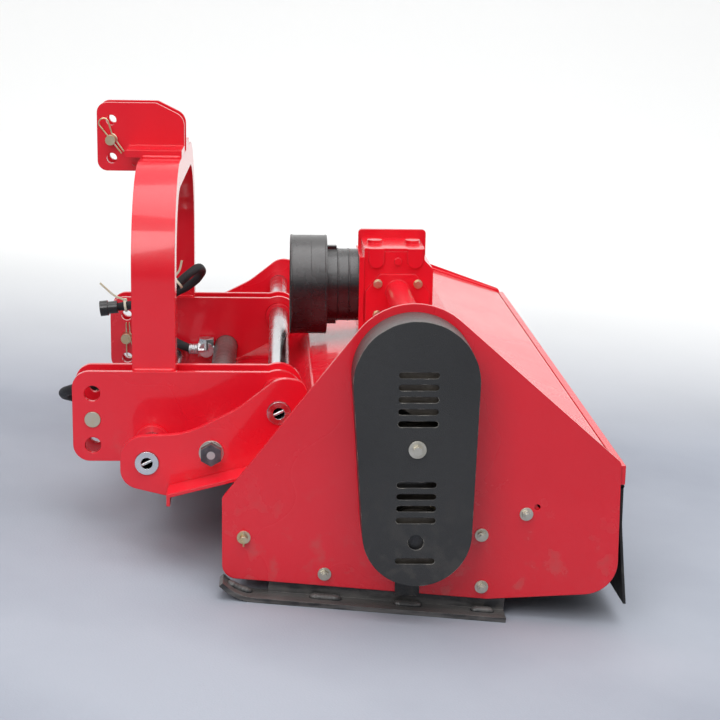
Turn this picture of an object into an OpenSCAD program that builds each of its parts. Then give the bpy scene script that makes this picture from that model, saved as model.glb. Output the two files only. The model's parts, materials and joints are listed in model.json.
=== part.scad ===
// Side-shift flail mower for a three-point hitch, in millimetres.
// Machine frame: X to the left (belt side), Y to the rear, Z up, from the axis of the lower hitch pins.
// "back" and "drop" or "up" give a place in that frame. The machine leans nose down on its skids.

/* [Stance] */
// Nose-down lean of the machine when its skids lie flat, in degrees
lean = 5; // [3:0.5:7]
// Height of the lower hitch pin axis over the ground
pin_height = 193; // [185:1:215]
// Origin behind the lower hitch pin axis
origin_back = 420.92; // [400:0.02:460]
// Origin to the left of the deck's middle
origin_side = 28.25; // [0:0.05:60]

/* [Side plates] */
// Deck width over both side plates
deck_w = 1520; // [1400:10:1800]
// Side plate thickness
side_t = 6; // [5:0.5:8]
// Front edge of the side plates behind the hitch pins
plate_front = 237; // [230:1:245]
// Length of the side plates
plate_len = 650; // [645:1:670]
// Lowest point of the side plates below the hitch pins
keel_drop = 225; // [222:1:230]
// Top end of the short front edge, below the hitch pins
nose_high = 52; // [40:1:60]
// Bottom end of the short front edge, below the hitch pins
nose_low = 187; // [180:1:192]
// Rear top corner above the hitch pins
tail_up = 9; // [8:1:20]
// Rear bottom corner below the hitch pins
tail_low = 215; // [210:1:220]
// Peak of the left plate behind its front edge, before rounding
peak_back = 289; // [285:1:300]
// Peak of the left plate above the hitch pins, before rounding
peak_up = 319; // [310:1:330]
// Rounding of the left plate's peak over the drive
crown_r = 112; // [106:1:118]
// Rounding of the front bottom corner
nose_r = 24; // [10:1:40]
// Rounding of the rear bottom corner
tail_r = 55; // [30:1:80]

/* [Hood] */
// Sheet thickness of the hood
hood_t = 5; // [3:0.5:6]
// Front bottom edge of the hood behind the hitch pins
toe_back = 252; // [248:1:256]
// Front bottom edge of the hood below the hitch pins
toe_drop = 110; // [105:1:115]
// Front bend of the hood behind the hitch pins
brow_back = 390; // [386:1:396]
// Front bend of the hood above the hitch pins
brow_up = 42; // [36:1:44]
// Ridge bend of the hood behind the hitch pins
ridge_back = 690; // [680:1:700]
// Ridge bend of the hood above the hitch pins
ridge_up = 66; // [56:1:68]
// Rear bend of the hood behind the hitch pins
fold_back = 880; // [876:1:882]
// Rear bend of the hood above the hitch pins
fold_up = 4; // [0:1:6]
// Depth of the rear drop below the rear bend
tail_drop = 44; // [40:1:60]
// Height of the right plate's rim over the hood
rim_up = 11; // [8:1:16]

/* [Apron] */
// How far each end of the front apron stays inside the deck's width
apron_inset = 100; // [60:5:145]
// Sheet thickness of the apron
apron_t = 6; // [4:0.5:8]
// Front lip behind the hitch pins
apron_back = 141; // [139:1:150]
// Top of the front lip below the hitch pins
apron_drop = 79; // [79:1:84]
// Rise of the apron towards the hood, in degrees
apron_slope = 14.4; // [13.5:0.1:14.6]
// Depth of the front lip
lip_h = 20; // [12:1:26]

/* [Shift bars and arms] */
// Outer diameter of the shift bars
bar_d = 40; // [36:1:42]
// Bore of the shift bars
bar_bore = 20; // [12:1:24]
// Front bar behind the hitch pins
front_bar_back = 105; // [104:1:107]
// Front bar below the hitch pins
front_bar_drop = 40; // [38:1:41]
// Rear bar behind the hitch pins
rear_bar_back = 328; // [324:1:329]
// Rear bar above the hitch pins
rear_bar_up = 48.5; // [46:0.5:56]
// How far each arm's outer face stays inside the deck's width
arm_inset = 156; // [130:2:160]
// Arm plate thickness
arm_t = 12; // [8:1:16]
// Margin of the arm's front lobe round the bar
arm_r = 45; // [42:1:46]
// How far the bars stand out of the arms
bar_proud = 4; // [2:1:8]
// Diameter of the cross pins in the bar ends
bar_pin_d = 6; // [4:0.5:8]

/* [Skids] */
// Length of the flat sole
sole_len = 410; // [380:5:430]
// Front end of the flat sole behind the hitch pins, along the ground
sole_back = 309; // [305:1:320]
// Width of the sole
sole_w = 44; // [40:1:60]
// Sole and flange thickness
skid_t = 8; // [6:0.5:8]
// Radius of the turned-up toe
toe_r = 90; // [86:1:96]
// Sweep of the turned-up toe in degrees
toe_sweep = 42; // [36:1:44]
// Height of the flange over the ground
flange_h = 72; // [64:1:76]

/* [Belt drive] */
// Drive shaft behind the hitch pins
shaft_back = 564; // [558:1:566]
// Drive shaft above the hitch pins
shaft_up = 158; // [156:1:160]
// Rotor axis behind the hitch pins
rotor_back = 545; // [541:1:549]
// Rotor axis below the hitch pins
rotor_drop = 101; // [96:1:104]
// Outer radius of the drive pulley
drive_r = 60; // [56:1:63]
// Outer radius of the rotor pulley
driven_r = 48; // [44:1:50]
// Number of belts
belts = 3; // [2:1:3]
// Belt width
belt_w = 11; // [9:0.5:12]
// Belt thickness
belt_t = 9; // [7:0.5:10]
// Web between two pulley grooves
groove_web = 4; // [3:0.5:5]
// Depth of the belt cover
cover_depth = 75; // [72:1:90]
// Sheet thickness of the belt cover
cover_t = 3; // [2:0.5:4]
// Upper rounding of the belt cover
cover_top_r = 99; // [96:1:102]
// Lower rounding of the belt cover
cover_low_r = 87; // [84:1:90]
// Upper centre of the belt cover behind the hitch pins
cover_back = 541; // [539:1:544]
// Upper centre of the belt cover above the hitch pins
cover_up = 157; // [154:1:160]
// Lower centre of the belt cover behind the hitch pins
cover_low_back = 547; // [545:1:549]
// Lower centre of the belt cover below the hitch pins
cover_drop = 87; // [84:1:90]
// Length of the cooling slots
slot_l = 63; // [50:1:70]
// Width of the cooling slots
slot_w = 10; // [6:0.5:12]
// Pitch of the cooling slots
slot_pitch = 19.5; // [16:0.5:22]
// Radius of the shaft window in the cover
window_r = 12.5; // [8:0.5:18]
// Depth of the tab under the cover
tab_drop = 218; // [212:1:224]
// Width of the tab under the cover
tab_w = 40; // [28:1:46]
// Middle of the tab behind the hitch pins
tab_back = 539; // [530:1:545]

/* [Gearbox] */
// Length of the gearbox housing
box_l = 148; // [144:1:156]
// Width of the gearbox housing
box_w = 140; // [138:1:160]
// Front face of the housing behind the hitch pins
box_back = 487; // [486:1:488]
// Bottom of the housing above the hitch pins
box_up = 71; // [71:1:76]
// Height of the housing under its cap
box_h = 167; // [160:1:172]
// Wall of the housing
box_wall = 8; // [6:0.5:8]
// Cap thickness
cap_t = 6; // [4:0.5:10]
// Diameter of the cap's bosses
boss_d = 30; // [20:1:36]
// Height of the cap's bosses
boss_h = 7; // [4:1:10]
// Thickness of the standing plate behind the gearbox
stand_t = 10; // [6:1:14]
// Top of the standing plate above the hitch pins
stand_up = 261; // [255:1:275]
// Cross tube diameter
tube_d = 50; // [48:1:56]
// Cross tube wall
tube_wall = 5; // [4:0.5:8]
// Width of the cross tube's six-sided flange
tube_flange_w = 128; // [122:1:134]
// Cross tube flange thickness
tube_flange_t = 12; // [8:1:16]
// Flange bolts in front of and behind the cross shaft
flange_bolt_back = 40; // [38:0.5:42]
// Cross shaft diameter
shaft_d = 24; // [20:1:26]
// Input shaft diameter over its splines
input_d = 35; // [33:0.5:36]
// Splines on the input shaft
splines = 6; // [6:1:8]
// Teeth of the small bevel gear
pinion_teeth = 12; // [10:2:14]
// Pitch radius of the small bevel gear
pinion_r = 26; // [24:0.5:27]

/* [Drive shaft shield] */
// Front of the shield's bell behind the hitch pins
bell_back = 350; // [340:1:370]
// Length of the bell
bell_l = 74; // [60:1:78]
// Bell diameter
bell_d = 200; // [190:1:210]
// Collar diameter behind the bell
collar_d = 146; // [130:1:150]
// Wall of the bell and the collar
shield_t = 4; // [3:0.5:6]

/* [Rotor] */
// Rotor tube diameter
rotor_d = 76; // [70:1:80]
// Rotor tube wall
rotor_wall = 8; // [6:0.5:10]
// Rotor stub shaft diameter
stub_d = 40; // [36:1:44]
// Radius of the flail pins from the rotor axis
pin_circle_r = 62; // [62:1:64]
// Flail reach from its pin
flail_reach = 56; // [50:1:58]
// Flails in a row
flails_per_row = 12; // [8:1:12]
// Width of a flail's eye
eye_w = 30; // [24:1:34]
// Width of a flail's head
head_w = 52; // [40:1:56]
// Flail pin diameter
flail_pin_d = 16; // [12:1:17]
// Thickness of a flail lug's ear
ear_t = 8; // [6:1:10]
// Rotor bearing flange diameter
bearing_d = 112; // [100:1:118]
// Rotor bearing depth
bearing_t = 26; // [20:1:30]

/* [Roller and flaps] */
// Roller diameter
roller_d = 100; // [80:1:102]
// Roller axis behind the hitch pins
roller_back = 800; // [795:1:805]
// Roller axis below the hitch pins
roller_drop = 165; // [160:1:166]
// Roller stub diameter
roller_stub_d = 25; // [20:1:30]
// Front flap rod diameter
flap_rod_d = 12; // [10:1:14]
// Front flap rod behind the hitch pins
flap_rod_back = 272; // [270:1:276]
// Front flap rod below the hitch pins
flap_rod_drop = 118; // [114:1:120]
// Number of front flaps
front_flaps_n = 12; // [8:1:12]
// Length of a front flap below its rod
front_flap_l = 82; // [60:1:86]
// Sheet thickness of the front flaps
front_flap_t = 4; // [3:0.5:6]
// Length of the rear rubber flap
rear_flap_l = 204; // [180:1:206]
// Thickness of the rear rubber flap
rear_flap_t = 5; // [4:0.5:7]
// Outward sweep of the rear flap's lower edge
rear_flap_sweep = 12; // [4:1:20]

/* [Hitch] */
// Room at rest between the hitch's left collars and the left arm
left_room = 109.5; // [104:0.5:140]
// Spread of the lower hitch points
link_spread = 683; // [670:1:690]
// Gap between the two plates of a clevis
clevis_gap = 46; // [44:1:48]
// Clevis plate thickness
clevis_t = 10; // [8:1:12]
// Front edge of the clevis plates before the hitch pins
clevis_front = 35; // [32:1:40]
// Top edge of the clevis plates above the hitch pins
clevis_up = 87; // [84:1:88]
// Bottom edge of the clevis plates below the hitch pins
clevis_drop = 76; // [74:1:78]
// Rounding of the clevis plates round the rear bar
lobe_r = 42; // [38:1:42]
// Lower hitch pin diameter in the outer plate
pin_d = 28; // [26:1:30]
// Lower hitch pin diameter in the inner plate
pin_step_d = 22; // [19:1:24]
// Pitch of the lower hitch holes
pin_pitch = 47; // [44:1:48]
// Outer diameter of the slide bushes
bush_d = 56; // [52:1:58]
// Outer diameter of the bush collars
bush_collar_d = 62; // [60:1:84]
// Thickness of the bush collars
bush_collar_t = 10; // [6:1:12]
// Arch tube depth, front to rear
arch_w = 76; // [72:1:84]
// Arch tube wall
arch_wall = 6; // [4:0.5:8]
// Front of the arch behind the hitch pins
arch_back = 70; // [66:1:74]
// Top of the arch above the hitch pins
arch_up = 435; // [400:1:436]
// Outer radius of the arch's shoulders
shoulder_r = 190; // [150:1:200]
// Height of the top-link pin above the lower hitch pins
mast_up = 460; // [460:1:466]
// Top-link pin diameter
top_pin_d = 19; // [18:0.5:20]
// Gap between the top-link plates
link_gap = 52; // [48:1:56]
// Top-link plate thickness
link_t = 10; // [8:1:12]
// Top of the top-link plates above the lower hitch pins
link_up = 529; // [525:1:540]
// Front of the top-link plates before the lower hitch pins
link_front = 19; // [18:1:26]
// Bottom of the top-link plates above the lower hitch pins
link_low = 400; // [396:1:404]
// Pitch of the top-link holes
link_pitch = 36; // [34:1:38]
// Top-link holes behind the lower hitch pins
link_hole_back = 8; // [4:1:12]
// Wire diameter of the spring clips
clip_wire = 3; // [2.5:0.5:4]

/* [Side-shift cylinder] */
// Cylinder axis behind the hitch pins
ram_back = 214; // [210:1:218]
// Cylinder axis below the hitch pins
ram_drop = 21; // [18:1:24]
// Barrel outer diameter
barrel_d = 50; // [48:1:50]
// Barrel bore
barrel_bore = 40; // [38:1:41]
// Barrel length
barrel_l = 516; // [510:1:540]
// Rod diameter
rod_d = 25; // [22:1:26]
// Rod length inside the barrel at rest
rod_inside = 372; // [360:1:380]
// Hose outer diameter
hose_d = 18; // [16:0.5:19]

/* [Fasteners] */
// Shank diameter of the plate bolts
bolt_d = 8; // [7:1:10]
// Width over flats of the plate bolts' heads
bolt_af = 13; // [12:1:17]
// Washer diameter of the plate bolts
washer_d = 22; // [20:1:26]
// Head height of the plate bolts
bolt_head = 6.5; // [5:0.5:8]
// Washer thickness
washer_t = 2.5; // [2:0.5:4]
// Washer diameter of the cylinder's anchor bolt
anchor_washer_d = 42; // [38:1:44]
// Width over flats of the anchor bolt
anchor_af = 34; // [30:1:36]

/* [Fits] */
// Radial clearance of a running fit
run_fit = 0.1; // [0.05:0.01:0.1]
// Radial clearance of a loose hole
hole_fit = 0.3; // [0.2:0.05:0.4]
// Clearance between pieces that pass each other
pass_fit = 0.4; // [0.3:0.05:0.6]

/* [Hidden] */
$fn = 48;

red = "firebrick";
dark = "#222222";
steel = "silver";
zinc = "#c8b878";
pale = "wheat";

overrun = 1;
round_step = 9;
side_x = deck_w / 2;
inner_x = side_x - side_t;
arm_x = side_x - arm_inset;
apron_half = side_x - apron_inset;
gear_ratio = 2;
flail_rows = 2;

front_bar = [front_bar_back, -front_bar_drop];
rear_bar = [rear_bar_back, rear_bar_up];
bar_gap = rear_bar - front_bar;
ram_axis = [ram_back, -ram_drop];
shaft_axis = [shaft_back, shaft_up];
rotor_axis = [rotor_back, -rotor_drop];
roller_axis = [roller_back, -roller_drop];
flap_axis = [flap_rod_back, -flap_rod_drop];
cover_top = [cover_back, cover_up];
cover_low = [cover_low_back, -cover_drop];

hood_toe = [toe_back, -toe_drop];
hood_brow = [brow_back, brow_up];
hood_ridge = [ridge_back, ridge_up];
hood_fold = [fold_back, fold_up];
hood_tail = [fold_back, fold_up - tail_drop];

cover_centre_back = (cover_back + cover_low_back) / 2;
cover_x = side_x + cover_depth;
pulley_gap = 14;
pulley_x = side_x + pulley_gap;
belt_proud = 1.5;
groove_w = belt_w + 2 * pass_fit;
groove_pitch = groove_w + groove_web;
pulley_w = belts * groove_pitch + groove_web;
pulley_bottom = belt_proud - belt_t - pass_fit;
shaft_end_x = pulley_x + pulley_w + pass_fit;
stud_d = 10;
stud_head_h = 9;
stud_washer_d = 28;
stud_up = 52;
slot_top_up = 171;
slot_mid_drop = 6;
slot_low_drop = 132;
upper_slots = 5;
lower_slots = 4;
bottom_slots = 1;
cover_holes = [cover_centre_back, stud_up];

box_top = box_up + box_h;
box_r = 20;
foot_inset = 8;
stand_inset = 4;
stand_r = 8;
face_t = 10;
face_up = 227;
face_over = 5;
rear_step = 18;
bulge_up = 203;
lug_h = 18;
lug_proud = 6;
plug_af = 14;
plug_h = 5;
plug_up = 218;
shaft_inset = 6;
boss_shares = [0.23, 0.75];
flange_bolt_d = 8;
flange_bolt_af = 13;
flange_bolt_h = 6;
flange_washer_d = 18;
flange_bolt_up = 17;
flange_bolt_low = 46;
flange_top_up = 36;
flange_low = 60;
flange_top_share = 0.56;
flange_corner_r = 6;
bearing_ring_d = 50;
bearing_ring_w = 12;
input_ring_d = 58;
input_ring_w = 16;
input_neck_d = 30;
input_inset = 4;
spline_depth = 3;
spline_share = 0.5;
gear_r = pinion_r * gear_ratio;
gear_teeth = pinion_teeth * gear_ratio;
cone_l = norm([pinion_r, gear_r]);
tooth_add = 2.6;
tooth_ded = 3.2;
tooth_tip_share = 0.2;
tooth_root_share = 0.42;
face_share = 0.28;

bell_end = bell_back + bell_l;
bell_hole_inset = 12;
collar_hole_d = 68;
clip_l = 20;
clip_w = 16;
clip_h = 7;

stub_gap = 8;
bearing_x = inner_x - bearing_t;
rotor_gap = 6;
rotor_half = bearing_x - rotor_gap;
rotor_out = 4;
bearing_bolts_n = 4;
bearing_bolt_r = 46;
ear_w = 28;
ear_sink = 4;
eye_r = 17;
head_t = 46;
head_share = 0.5;
flail_end_gap = 2;
flail_span = 2 * (rotor_half - flail_end_gap);
row_turn = 360 / flail_rows;
row_pitch = flail_span / flails_per_row;
row_step = row_pitch / flail_rows;
flail_pin_head = 5;
flail_pin_head_d = 24;

roller_gap = 8;
bracket_t = 8;
bracket_x = inner_x - bracket_t;
roller_bolt_a = [659, -114];
roller_bolt_b = [731, -78];
spare_hole = [749, -67];
spare_hole_d = 10;
bracket_r = 22;
bolt_out = 3;
skid_bolt_up = 48;
skid_bolt_shares = [0.265, 0.897];
flange_inset = 20;
flange_r = 12;

clamp_t = 12;
clamp_h = 32;
clamp_gap = 2;
bead_r = rear_flap_t / 2 + overrun;
flap_bead = [fold_back + clamp_t - bead_r, fold_up - clamp_gap - clamp_h - bead_r - hole_fit];
flap_side_gap = 3;
flap_mid_share = 0.32;
flap_eye_wall = 4;
flap_gap = 10;
rod_out = 16;
split_pin_d = 3;
split_pin_l = 26;

hitch_half = link_spread / 2;
outer_face = hitch_half + clevis_gap / 2 + clevis_t;
inner_face = hitch_half - clevis_gap / 2 - clevis_t;
hitch_side = arm_x - arm_t - left_room - outer_face - bush_collar_t;
clevis_r = 30;
clevis_rise = 9;
clevis_reach = 112;
bush_proud = 8;
leg_low = 0;
lower_holes = [-pin_pitch, 0, pin_pitch];
pin_proud = 2;
pin_inner_proud = 26;
clip_inset = 12;
ram_hole_d = 40;
link_holes = [mast_up - link_pitch, mast_up, mast_up + link_pitch];
link_nose_r = 19;
link_tail_r = 26;
link_tail_up = 503;
link_tail_back = 93;
saddle_half = 128;
saddle_front = 41;
saddle_t = 14;
small_hole_d = 8;
small_hole = [51, 413];
top_pin_head_d = 30;
top_pin_head = 8;
top_pin_proud = 26;
clip_ring_r = 9;
clip_leg = 23;
clip_ring_sweep = 200;
clip_bow_from = 140;
clip_bow_to = 235;
top_clip_turn = 38;
lower_clip_turn = 180;

barrel_over = 5;
barrel_from = -inner_face - clevis_t - barrel_over;
barrel_x = hitch_side + barrel_from;
barrel_end = barrel_x + barrel_l;
barrel_base = 18;
gland_in = 28;
gland_out = 8;
piston_l = 22;
anchor_shank_d = 14;
anchor_grip = 24;
anchor_head = 16;
anchor_washer_t = 4;
fitting_l = 34;
fitting_d = 18;
fitting_af = 30;
fitting_hex_share = 0.4;
banjo_d = 32;
banjo_w = 30;
plug_top_h = 24;
coupler_d = 26;
coupler_l = 36;
coupler_cap_d = 32;
coupler_cap_share = 0.45;
port_inset = 38;
port_gap = 10;
right_port_x = barrel_from + port_inset;
left_port_x = barrel_from + barrel_l - gland_in - port_gap;
port_y = ram_back - barrel_d / 2 - hole_fit - fitting_l;
hose_sides = 10;
tie_wire = 3.2;
tie_tail_l = 55;
tie_tail_w = 5;
tie_places = [14, 17];
right_twist = [0.5, 0.3, -0.8];
left_twist = [0, 0, 1];

// Routes of the two hoses from the middle of the hitch: out of a port, round a loop, to a coupler
function out_of_port(x) = [[x, port_y - pass_fit, -ram_drop], [x, port_y - hose_d / 2, -ram_drop]];
right_route = concat(out_of_port(right_port_x), [
    [-285, 129, -16.8], [-285, 107, -6], [-285, 88, 11], [-285, 76, 34], [-285, 74, 58], [-284, 83, 81],
    [-281, 102, 100], [-276, 126, 114], [-266, 149, 132], [-247, 164, 153], [-221, 161, 168], [-197, 144, 162],
    [-184, 119, 141], [-178, 88, 117], [-178, 52, 100], [-178, 10, 94], [-178, -6, 92]
]);
left_route = concat(out_of_port(left_port_x), [
    [155, 129, -16], [155, 112, -9.5], [155, 92, -5], [156, 66, -6], [157, 36, -11], [159, 4, -15], [167, -29, -15],
    [184, -55, -8], [214, -69.3, 5], [246, -61, 19], [266, -38, 29], [275, -8, 35], [277, 24, 38]
]);

// Plane geometry: fillets, sheet sections and tangents
function unit(v) = v / norm(v);
function wrap(a) = a > 180 ? a - 360 : a < -180 ? a + 360 : a;
function arc(c, r, a0, a1) =
    let (n = max(1, ceil(abs(a1 - a0) / round_step)))
    [for (i = [0 : n]) c + r * [cos(a0 + (a1 - a0) * i / n), sin(a0 + (a1 - a0) * i / n)]];
function fillet(a, b, c, r) =
    r == 0 ? [b] :
    let (u = unit(a - b), w = unit(c - b), half = acos(u * w) / 2)
    let (mid = b + unit(u + w) * r / sin(half), from = b + u * r / tan(half), to = b + w * r / tan(half))
    let (a0 = atan2(from.y - mid.y, from.x - mid.x), a1 = atan2(to.y - mid.y, to.x - mid.x))
    arc(mid, r, a0, a0 + wrap(a1 - a0));
function rounded(pts, rs) =
    let (n = len(pts))
    [for (i = [0 : n - 1]) each fillet(pts[(i + n - 1) % n], pts[i], pts[(i + 1) % n], rs[i])];
function side_of(d) = [d.y, -d.x];
function ribbon_inner(pts, t) =
    let (n = len(pts) - 1)
    [for (i = [0 : n])
        let (a = side_of(unit(pts[max(i, 1)] - pts[max(i, 1) - 1])))
        let (b = side_of(unit(pts[min(i, n - 1) + 1] - pts[min(i, n - 1)])))
        pts[i] + (a + b) * t / (1 + a * b)];
function ribbon(pts, t) =
    let (inner = ribbon_inner(pts, t))
    concat(pts, [for (i = [len(pts) - 1 : -1 : 0]) inner[i]]);
function meet(p, d, q, e) = p + d * cross(q - p, e) / cross(d, e);
function tangent_from(p, c, r, side) =
    let (v = c - p, reach = sqrt(v * v - r * r), a = atan2(v.y, v.x) + side * asin(r / norm(v)))
    p + reach * [cos(a), sin(a)];

// Tube of round section swept along a smooth curve through the route's points
function curve_at(p, i, s) =
    let (n = len(p) - 1, a = p[max(i - 1, 0)], b = p[i], c = p[min(i + 1, n)], d = p[min(i + 2, n)])
    (2 * b + (c - a) * s + (2 * a - 5 * b + 4 * c - d) * s * s + (3 * b - a - 3 * c + d) * s * s * s) / 2;
function smooth(p) =
    concat([for (i = [0 : len(p) - 2]) each [curve_at(p, i, 0), curve_at(p, i, 1 / 2)]], [p[len(p) - 1]]);
function heading(p, i) = unit(p[min(i + 1, len(p) - 1)] - p[max(i - 1, 0)]);
function tube_rings(p, r, n, ref) = [
    for (i = [0 : len(p) - 1])
        let (t = heading(p, i), u = unit(cross(t, ref)), w = cross(t, u))
        for (k = [0 : n - 1]) p[i] + r * (u * cos(360 * k / n) + w * sin(360 * k / n))];
module swept(p, r, n, ref) {
    m = len(p);
    walls = [
        for (i = [0 : m - 2], k = [0 : n - 1])
            let (a = i * n + k, b = i * n + (k + 1) % n)
            each [[a, a + n, b], [b, a + n, b + n]]
    ];
    ends = [
        for (k = [1 : n - 2])
            each [[0, k, k + 1], [(m - 1) * n, (m - 1) * n + k + 1, (m - 1) * n + k]]
    ];
    polyhedron(tube_rings(p, r, n, ref), concat(walls, ends));
}

// Placing
module machine() {
    translate([-origin_side, -origin_back, pin_height])
        rotate([lean, 0, 0])
            children();
}
module ground() {
    translate([-origin_side, -origin_back, 0])
        children();
}
module at(p, x = 0) {
    translate([x, p.x, p.y])
        children();
}
module along_x(x, w) {
    translate([x, 0, 0])
        rotate([90, 0, 90])
            linear_extrude(w)
                children();
}
module rod_x(d, x, l) {
    translate([x, 0, 0])
        rotate([0, 90, 0])
            cylinder(d = d, h = l);
}
module hex_x(af, x, l) {
    translate([x, 0, 0])
        rotate([0, 90, 0])
            cylinder(d = af / cos(30), h = l, $fn = 6);
}
module rod_y(d, y, l) {
    translate([0, y, 0])
        rotate([-90, 0, 0])
            cylinder(d = d, h = l);
}
module hole_x(p, d, x, l) {
    at(p)
        rod_x(d, x - overrun, l + 2 * overrun);
}
module both_sides() {
    children();
    mirror([1, 0, 0])
        children();
}
module on_hitch(side = 1) {
    translate([hitch_side, 0, 0])
        mirror([side < 0 ? 1 : 0, 0, 0])
            children();
}
module capsule(c1, r1, c2, r2) {
    lean_a = atan2(c2.y - c1.y, c2.x - c1.x);
    open_a = acos((r1 - r2) / norm(c2 - c1));
    left = [cos(lean_a + open_a), sin(lean_a + open_a)];
    right = [cos(lean_a - open_a), sin(lean_a - open_a)];
    translate(c1)
        circle(r1);
    translate(c2)
        circle(r2);
    polygon([c1 + r1 * left, c1 + r1 * right, c2 + r2 * right, c2 + r2 * left]);
}

// Deck
plate_end = plate_front + plate_len;
kink_share = 0.669;
kink_r = 10;
tip_r = 12;
front_tip_r = 8;
nose_dir = unit([peak_back, peak_up + nose_high]);
low_outline = [
    [plate_front, -nose_high], [plate_front, -nose_low], [plate_front + kink_share * plate_len, -keel_drop],
    [plate_end, -tail_low], [plate_end - tip_r / 3, tail_up]
];
low_rounds = [front_tip_r, nose_r, kink_r, tail_r, tip_r];
rim = [0, rim_up];
right_brow = meet([plate_front, -nose_high], nose_dir, hood_brow + rim, hood_ridge - hood_brow);
right_ridge = hood_ridge + rim;

module plate_holes() {
    hole_x(rotor_axis, stub_d + stub_gap, inner_x, side_t);
    hole_x(flap_axis, flap_rod_d + 2 * hole_fit, inner_x, side_t);
    for (p = [roller_bolt_a, roller_bolt_b])
        hole_x(p, bolt_d + 2 * hole_fit, inner_x, side_t);
    hole_x(spare_hole, spare_hole_d, inner_x, side_t);
    for (p = skid_bolt_places)
        hole_x(p, bolt_d + 2 * hole_fit, inner_x, side_t);
    at(rotor_axis)
        bearing_bolt_places()
            rod_x(flange_bolt_d + 2 * hole_fit, inner_x - overrun, side_t + 2 * overrun);
}
module left_side_plate() {
    color(red) machine() difference() {
        along_x(inner_x, side_t)
            polygon(rounded(
                concat(low_outline, [[plate_front + peak_back, peak_up]]), concat(low_rounds, [crown_r])));
        plate_holes();
        hole_x(shaft_axis, shaft_d + stub_gap, inner_x, side_t);
    }
}
module right_side_plate() {
    color(red) machine() mirror([1, 0, 0]) difference() {
        along_x(inner_x, side_t)
            polygon(rounded(
                concat(low_outline, [right_ridge, right_brow]), concat(low_rounds, [tip_r, tip_r])));
        plate_holes();
    }
}
hood_path = concat(
    [hood_toe],
    fillet(hood_toe, hood_brow, hood_ridge, tip_r),
    fillet(hood_brow, hood_ridge, hood_fold, tip_r),
    fillet(hood_ridge, hood_fold, hood_tail, tip_r),
    [hood_tail]
);
module hood() {
    color(red) machine()
        along_x(-inner_x, 2 * inner_x)
            polygon(ribbon(hood_path, hood_t));
}
apron_tip = [apron_back, -apron_drop];
apron_dir = [cos(apron_slope), sin(apron_slope)];
hood_dir = unit(hood_brow - hood_toe);
apron_root = meet(apron_tip, apron_dir, hood_toe, hood_dir);
module front_apron() {
    under = apron_tip + apron_t * side_of(apron_dir);
    color(red) machine()
        along_x(-apron_half, 2 * apron_half)
            polygon([
                apron_tip, apron_tip - [0, lip_h], apron_tip + [apron_t, -lip_h],
                meet(under, apron_dir, apron_tip + [apron_t, 0], [0, 1]),
                meet(under, apron_dir, hood_toe, hood_dir), apron_root
            ]);
}
arm_edge_shares = [[1.2, 1.62], [1, 1.69], [0.69, 1.07], [0.29, 0.56]];
arm_round_shares = [0.9, 0.75, 0, 0, 0, 0, 0.5, 0.9, 2.7, 2.7];
module arm(side) {
    lobe = front_bar + [-arm_r, arm_r];
    chin = apron_tip - [0, lip_h];
    weld_end = hood_brow - hood_dir * tip_r;
    outline = concat(
        [lobe, [lobe.x, chin.y + lip_h], chin, apron_tip, apron_root, weld_end],
        [for (s = arm_edge_shares) front_bar + [s.x * bar_gap.x, s.y * bar_gap.y]]
    );
    color(red) machine() mirror([side < 0 ? 1 : 0, 0, 0]) difference() {
        along_x(arm_x - arm_t, arm_t)
            polygon(rounded(outline, arm_round_shares * arm_r));
        for (p = [front_bar, rear_bar])
            hole_x(p, bar_d + 2 * hole_fit, arm_x - arm_t, arm_t);
        if (side > 0)
            hole_x(ram_axis, anchor_shank_d + 2 * hole_fit, arm_x - arm_t, arm_t);
    }
}
module left_arm() {
    arm(1);
}
module right_arm() {
    arm(-1);
}
bar_half = arm_x + bar_proud;
bar_pin_tilt = 64;
module shift_bar(p) {
    color(steel) machine() at(p) difference() {
        rod_x(bar_d, -bar_half, 2 * bar_half);
        rod_x(bar_bore, -bar_half - overrun, 2 * (bar_half + overrun));
    }
}
module front_shift_bar() {
    shift_bar(front_bar);
}
module rear_shift_bar() {
    shift_bar(rear_bar);
}
module bar_pins() {
    color(zinc) machine() both_sides()
        for (p = [front_bar, rear_bar])
            at(p, bar_half - bar_pin_d)
                rotate([-bar_pin_tilt, 0, 0])
                    cylinder(d = bar_pin_d, h = bar_bore - 2 * hole_fit, center = true);
}

// Skids lie flat on the ground, so they are drawn along it
skid_x = inner_x - skid_t;
sole_end = sole_back + sole_len;
function to_machine(p) =
    let (q = [p.x, p.y - pin_height])
    [q.x * cos(lean) + q.y * sin(lean), q.y * cos(lean) - q.x * sin(lean)];
skid_bolt_places = [for (s = skid_bolt_shares) to_machine([sole_back + s * sole_len, skid_bolt_up])];
module skid(side) {
    toe = [sole_back, toe_r];
    color(dark) ground() mirror([side < 0 ? 1 : 0, 0, 0]) difference() {
        union() {
            along_x(skid_x, sole_w)
                polygon(concat(
                    [[sole_end, skid_t], [sole_end, 0]],
                    arc(toe, toe_r, -90, -90 - toe_sweep),
                    arc(toe, toe_r - skid_t, -90 - toe_sweep, -90)));
            along_x(skid_x, skid_t)
                polygon(rounded(
                    [[sole_back + flange_inset, 0], [sole_end, 0], [sole_end, flange_h],
                        [sole_back + flange_inset, flange_h]],
                    [0, 0, flange_r, flange_r]));
        }
        for (s = skid_bolt_shares)
            hole_x([sole_back + s * sole_len, skid_bolt_up], bolt_d + 2 * hole_fit, skid_x, skid_t);
    }
}
module left_skid() {
    skid(1);
}
module right_skid() {
    skid(-1);
}
module plate_bolt(x, grip) {
    rod_x(washer_d, x, washer_t);
    hex_x(bolt_af, x + washer_t, bolt_head);
    rod_x(bolt_d, x - grip - bolt_head, grip + 2 * bolt_head + washer_t + bolt_out);
    hex_x(bolt_af, x - grip - bolt_head, bolt_head);
}
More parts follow.
